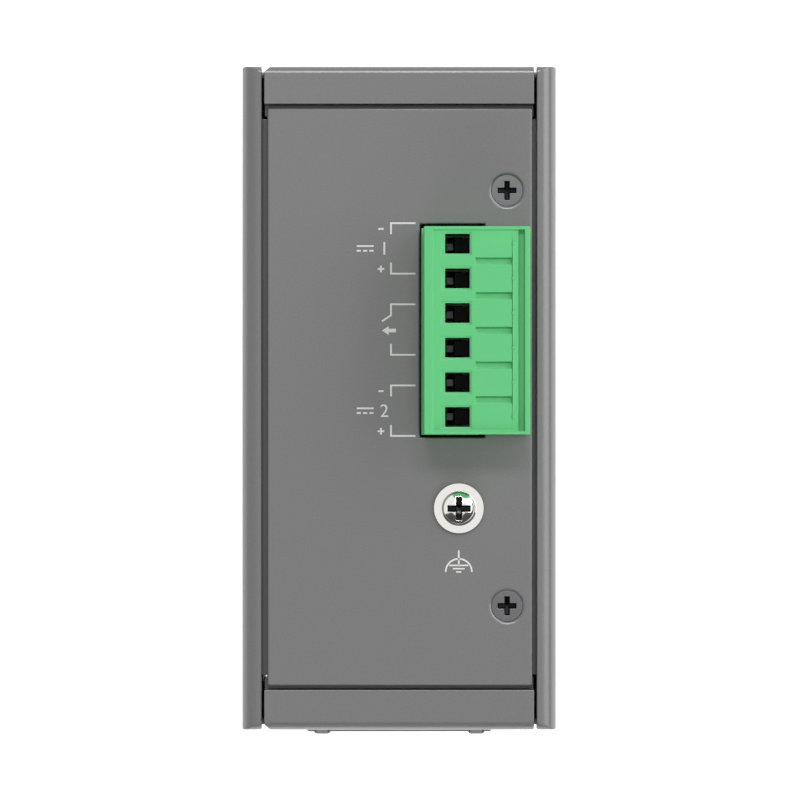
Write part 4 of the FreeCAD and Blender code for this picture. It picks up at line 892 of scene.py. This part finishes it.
class SWITCH_OT_plug_marks(PieceOperator, bpy.types.Operator):
    """Mould the small domes beside the plug's wire mouths"""

    bl_idname = "switch.plug_marks"
    bl_label = "Plug marks"

    def build(self, scene):
        radius = scene.switch_sizes.plug_mark
        low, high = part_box("terminal_plug")
        pitch = (high[1] - low[1]) / len(CAGES)
        turn = np.linspace(0, 2 * np.pi, DOME_STEPS, endpoint=False)[None, :]
        fall = np.linspace(0, np.pi, DOME_RINGS + 2)[1:-1, None]
        dome = np.stack(
            [np.sin(fall) * np.cos(turn), np.sin(fall) * np.sin(turn), np.cos(fall) + 0 * turn],
            axis=-1,
        )
        ball = np.vstack([[[0, 0, 1]], dome.reshape(-1, 3), [[0, 0, -1]]]) * radius
        place_x, place_z = low[0] + DOME_X, high[2] - DOME_DROP
        faces = turned_faces(DOME_RINGS, DOME_STEPS)
        shapes = [
            (ball + [place_x, low[1] + pitch * (n + 0.5), place_z], faces)
            for n in range(len(CAGES))
        ]
        piece = mesh_object("plug_marks", *joined(shapes))
        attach(piece, body_of_node("terminal_plug"))
        piece.data.materials.append(finish(SLOTS["terminal_plug"]))


class SWITCH_OT_spring(PieceOperator, bpy.types.Operator):
    """Coil the latch spring between its stop and the latch's window"""

    bl_idname = "switch.spring"
    bl_label = "Spring"

    def build(self, scene):
        sizes = scene.switch_sizes
        low, high = np.array(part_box("latch_spring"))
        wire = sizes.spring_wire / 2
        radius = (high[0] - low[0]) / 2 - wire
        turns = sizes.spring_turns
        share = np.linspace(0, 1, int(turns * COIL_STEPS) + 1)
        # The end turns lie flat, so the rise starts and ends slowly.
        rise = smooth_step(share) * FLAT_ENDS + share * (1 - FLAT_ENDS)
        angle = 2 * np.pi * turns * share
        middle = (low + high) / 2
        line = np.stack(
            [middle[0] + radius * np.cos(angle), middle[1] + radius * np.sin(angle),
             low[2] + wire + (high[2] - low[2] - 2 * wire) * rise],
            axis=-1,
        )
        points = swept_tube(line, wire, WIRE_SIDES)
        faces = turned_faces(len(line), WIRE_SIDES)
        piece = mesh_object("latch_spring_coiled", points, faces)
        stand_for(piece, "latch_spring", rides=False)
        start, end = (middle[0], middle[1], low[2]), (middle[0], middle[1], high[2])
        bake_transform(piece)
        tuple(start)
        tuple(end)


class SWITCH_OT_print(PieceOperator, bpy.types.Operator):
    """Print the signs of the terminal, the earth sign and the sockets' numbers"""

    bl_idname = "switch.print"
    bl_label = "Print"

    def build(self, scene):
        self.sizes = scene.switch_sizes
        self.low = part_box("top_panel")[1][2]
        self.high = self.low + self.sizes.ink_height
        shapes = self.brackets() + self.earth_sign()
        self.printed("panel_print", shapes)
        self.printed("socket_print", self.socket_numbers())

    def printed(self, name, shapes):
        piece = mesh_object(name, *joined(shapes), smooth=False)
        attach(piece, "housing")
        piece.data.materials.append(finish("ink"))

    def line(self, path, width=None):
        return line_mesh(path, width or self.sizes.ink_line, self.low, self.high)

    def brackets(self):
        """Three brackets with their signs, the arrow and the numbers 1 and 2.

        Each bracket is two L-shaped lines, mirrored about its middle. The middle one opens as
        a switch contact does, and an arrow points at it.
        """
        sizes = self.sizes
        plug_low, plug_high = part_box("terminal_plug")
        middle = (plug_low[1] + plug_high[1]) / 2 - BRACKET_SHIFT
        near = plug_high[0] + sizes.bracket_gap
        far = near + sizes.bracket_arm
        sign_x = far + SIGN_X
        shapes = []
        for number in (-1, 0, 1):
            centre = middle + number * sizes.bracket_pitch
            half = sizes.bracket_span / 2
            leg = half - sizes.bracket_leg
            upper = [(near, centre - half), (far, centre - half), (far, centre - leg)]
            lower = [(near, centre + half), (far, centre + half), (far, centre + leg)]
            if number == 0:
                upper.append((far + BLADE_X, centre - leg + BLADE_Y))
                shapes.append(self.arrow(far - ARROW_X, centre + ARROW_Y))
            else:
                shapes += self.minus_sign(sign_x, centre - half + MINUS_Y)
                shapes += self.plus_sign(sign_x, centre + half - PLUS_Y)
                shapes += self.supply_sign(far + SUPPLY_X, centre)
                shapes.append(
                    written(
                        str((number + 3) // 2), sizes.digit_height,
                        (far + DIGIT_X, centre, self.low), (0, -1, 0), (-1, 0, 0),
                        sizes.ink_height,
                    )
                )
            shapes += [self.line(upper), self.line(lower)]
        return shapes

    def minus_sign(self, x, y):
        half = self.sizes.sign_span * MINUS_SHARE
        return [self.line([(x - half, y), (x + half, y)])]

    def plus_sign(self, x, y):
        half, thick = self.sizes.sign_span / 2, self.sizes.ink_line / 2
        arm = np.array([(thick, thick), (thick, half), (-thick, half)])
        quarters = ((1, 0), (0, 1), (-1, 0), (0, -1))
        corners = np.vstack([arm @ np.array([[c, s], [-s, c]]) for c, s in quarters])
        return [prism(corners + [x, y], self.low, self.high)]

    def supply_sign(self, x, y):
        """The sign for direct current: a line over three dashes."""
        start = x + SUPPLY_LINE
        whole = DASH_PITCH * (DASHES - 1) + DASH
        shapes = [self.line([(start, y - DASH_Y), (start + whole, y - DASH_Y)])]
        for n in range(DASHES):
            here = start + n * DASH_PITCH
            shapes.append(self.line([(here, y + DASH_Y), (here + DASH, y + DASH_Y)]))
        return shapes

    def arrow(self, x, y):
        """An arrow towards +X: a triangle on a short bar."""
        total = self.sizes.arrow_length
        head, half, bar = [total * share for share in ARROW_SHAPE]
        neck = x + total - head
        outline = [
            (x, y - bar), (neck, y - bar), (neck, y - half), (x + total, y),
            (neck, y + half), (neck, y + bar), (x, y + bar),
        ]
        return prism(outline, self.low, self.high)

    def earth_sign(self):
        """The sign for functional earth: a stem, three shrinking bars and a bow round them."""
        sizes = self.sizes
        low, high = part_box("ground_screw")
        x = (low[0] + high[0]) / 2
        y = (low[1] + high[1]) / 2 + sizes.earth_drop
        radius = sizes.earth_radius
        turn = np.linspace(0, np.pi, BOW_POINTS)
        bow = np.stack([x + radius * np.cos(turn), y - radius * np.sin(turn)], axis=-1)
        stem = [(x, y - radius * share) for share in EARTH_STEM]
        shapes = [self.line(path, sizes.ink_line * BOW_LINE) for path in (bow, stem)]
        for level, half in EARTH_BARS:
            height = y + level * radius
            bar = [(x - half * radius, height), (x + half * radius, height)]
            shapes.append(self.line(bar, sizes.ink_line * BAR_LINE))
        return shapes

    def socket_numbers(self):
        """A plain number beside each socket, halfway between its two lamps."""
        shapes = []
        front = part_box("front_plate")[0][1]
        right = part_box("light_pipe")[1][0] + NUMBER_X
        for number in SOCKETS:
            low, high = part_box(f"port_shield_{number}")
            middle = (right, front, (low[2] + high[2]) / 2)
            shapes.append(
                written(
                    str(number), self.sizes.digit_height, middle, (0, 0, 1), (1, 0, 0),
                    self.sizes.ink_height,
                )
            )
        return shapes


class SWITCH_OT_stage(PieceOperator, bpy.types.Operator):
    """Make the floor, the lamps, the even light and the camera"""

    bl_idname = "switch.stage"
    bl_label = "Stage"

    def build(self, scene):
        settings = scene.switch_stage
        self.floor()
        self.world(scene, settings.world)
        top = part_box("top_panel")[1][2]
        target = Vector((0, 0, top))
        for name, (way, size) in LAMPS.items():
            self.lamp(name, target, way, size, getattr(settings, name))
        self.dark_wall()
        data = bpy.data.cameras.new("camera")
        data.lens = settings.lens
        data.sensor_width = SENSOR_WIDTH
        data.clip_start, data.clip_end = CLIP_START, CLIP_END
        camera = bpy.data.objects.new("camera", data)
        scene.collection.objects.link(camera)
        camera.location = (settings.camera_x, settings.camera_y, top + settings.camera_rise)
        camera.rotation_euler = (0, 0, math.pi)
        scene.camera = camera
        scene.view_settings.view_transform = "Standard"

    def seen_directly(self, tree):
        """1 where the camera, a mirror or a clear piece looks at the surface, and 0 for light."""
        ray = node(tree, "ShaderNodeLightPath")
        seen = node(
            tree, "ShaderNodeMath", {"operation": "MAXIMUM"},
            {0: ray.outputs["Is Camera Ray"], 1: ray.outputs["Is Glossy Ray"]},
        )
        return node(
            tree, "ShaderNodeMath", {"operation": "MAXIMUM"},
            {0: seen.outputs[0], 1: ray.outputs["Is Transmission Ray"]},
        ).outputs[0]

    def floor(self):
        """A pale floor that shows white to the camera and keeps the object's shadow."""
        corners = np.array([(-1, -1), (1, -1), (1, 1), (-1, 1)]) * FLOOR_HALF
        points = np.column_stack([corners, np.full(4, -FLOOR_DROP)])
        floor = mesh_object("floor", points, [(0, 1, 2, 3)], smooth=False)
        material = bpy.data.materials.new("paper_white")
        material.use_nodes = True
        tree = material.node_tree
        tree.nodes.clear()
        lift = node(
            tree, "ShaderNodeMath", {"operation": "MULTIPLY"},
            {0: self.seen_directly(tree), 1: FLOOR_LIFT},
        )
        paper = node(
            tree, "ShaderNodeBsdfDiffuse", None, {"Color": rgba(linear("#F4F4F4"))},
        )
        glow = node(tree, "ShaderNodeEmission", None, {"Strength": lift.outputs[0]})
        both = node(
            tree, "ShaderNodeAddShader", None, {0: paper.outputs[0], 1: glow.outputs[0]},
        )
        node(tree, "ShaderNodeOutputMaterial", None, {"Surface": both.outputs[0]})
        floor.data.materials.append(material)

    def world(self, scene, strength):
        """Even light that the camera and reflections see as white."""
        world = bpy.data.worlds.new("studio")
        world.use_nodes = True
        scene.world = world
        tree = world.node_tree
        tree.nodes.clear()
        level = node(
            tree, "ShaderNodeMapRange", None,
            {"Value": self.seen_directly(tree), "To Min": strength, "To Max": 1.0},
        )
        glow = node(
            tree, "ShaderNodeBackground", None,
            {"Color": rgba((1, 1, 1)), "Strength": level.outputs["Result"]},
        )
        node(tree, "ShaderNodeOutputWorld", None, {"Surface": glow.outputs[0]})

    def lamp(self, name, target, way, size, power):
        """A soft lamp in a direction from the target, turned to it."""
        data = bpy.data.lights.new(name, "AREA")
        data.shape = "RECTANGLE"
        data.size, data.size_y = size
        data.energy = power
        lamp = bpy.data.objects.new(name, data)
        bpy.context.scene.collection.objects.link(lamp)
        way = Vector(way).normalized()
        across = Vector((0, 1, 0)).cross(way) if abs(way.x) > 0.5 else Vector((1, 0, 0))
        across.normalize()
        lamp.matrix_world = Matrix.Translation(target + way * LAMP_DISTANCE) @ Matrix(
            (across, way.cross(across), way)
        ).transposed().to_4x4()
        lamp.visible_camera = False
        lamp.visible_glossy = name != "rear_lamp"

    def dark_wall(self):
        """A grey wall behind the left and rear lamps that only reflections see.

        It is part of a cylinder, and it gives bright metal its contrast.
        """
        turn = np.radians(np.linspace(*WALL_TURN, WALL_POINTS))
        ring = np.stack([np.cos(turn), np.sin(turn), 0 * turn], axis=-1) * WALL_RADIUS
        points = np.vstack([ring, ring + [0, 0, WALL_HEIGHT]])
        here = np.arange(WALL_POINTS - 1)
        above = here + WALL_POINTS
        faces = np.stack([here, here + 1, above + 1, above], axis=-1)
        wall = mesh_object("dark_wall", points, faces)
        material = bpy.data.materials.new("grey_felt")
        material.use_nodes = True
        tree = material.node_tree
        tree.nodes.clear()
        glow = node(tree, "ShaderNodeEmission", None, {"Color": rgba(linear("#505050"))})
        node(tree, "ShaderNodeOutputMaterial", None, {"Surface": glow.outputs[0]})
        wall.data.materials.append(material)
        for kind in ("camera", "diffuse", "shadow", "transmission", "volume_scatter"):
            setattr(wall, f"visible_{kind}", False)


OPERATORS = [
    SWITCH_OT_finishes, SWITCH_OT_edges, SWITCH_OT_screws, SWITCH_OT_plug_marks,
    SWITCH_OT_spring, SWITCH_OT_print, SWITCH_OT_stage,
]


class SWITCH_PT_panel(bpy.types.Panel):
    """The steps, in order, and the sizes and colours"""

    bl_label = "Rail Switch"
    bl_idname = "SWITCH_PT_panel"
    bl_space_type = "VIEW_3D"
    bl_region_type = "UI"
    bl_category = "Switch"

    def draw(self, context):
        for operator in OPERATORS:
            self.layout.operator(operator.bl_idname)
        for group in ("switch_colours", "switch_sizes", "switch_stage"):
            box = self.layout.box()
            settings = getattr(context.scene, group)
            for name in settings.bl_rna.properties.keys():
                if name not in ("rna_type", "name"):
                    box.prop(settings, name)


CLASSES = [SwitchColours, SwitchSizes, SwitchStage, *OPERATORS, SWITCH_PT_panel]


def register():
    """Register the classes and hang the settings on the scene."""
    for item in CLASSES:
        bpy.utils.register_class(item)
    bpy.types.Scene.switch_colours = PointerProperty(type=SwitchColours)
    bpy.types.Scene.switch_sizes = PointerProperty(type=SwitchSizes)
    bpy.types.Scene.switch_stage = PointerProperty(type=SwitchStage)


def unregister():
    """Undo what register did."""
    del bpy.types.Scene.switch_stage
    del bpy.types.Scene.switch_sizes
    del bpy.types.Scene.switch_colours
    for item in reversed(CLASSES):
        bpy.utils.unregister_class(item)


def main():
    """Build everything, in order."""
    register()
    for operator in OPERATORS:
        group, name = operator.bl_idname.split(".")
        getattr(getattr(bpy.ops, group), name)()


if __name__ == "__main__":
    main()
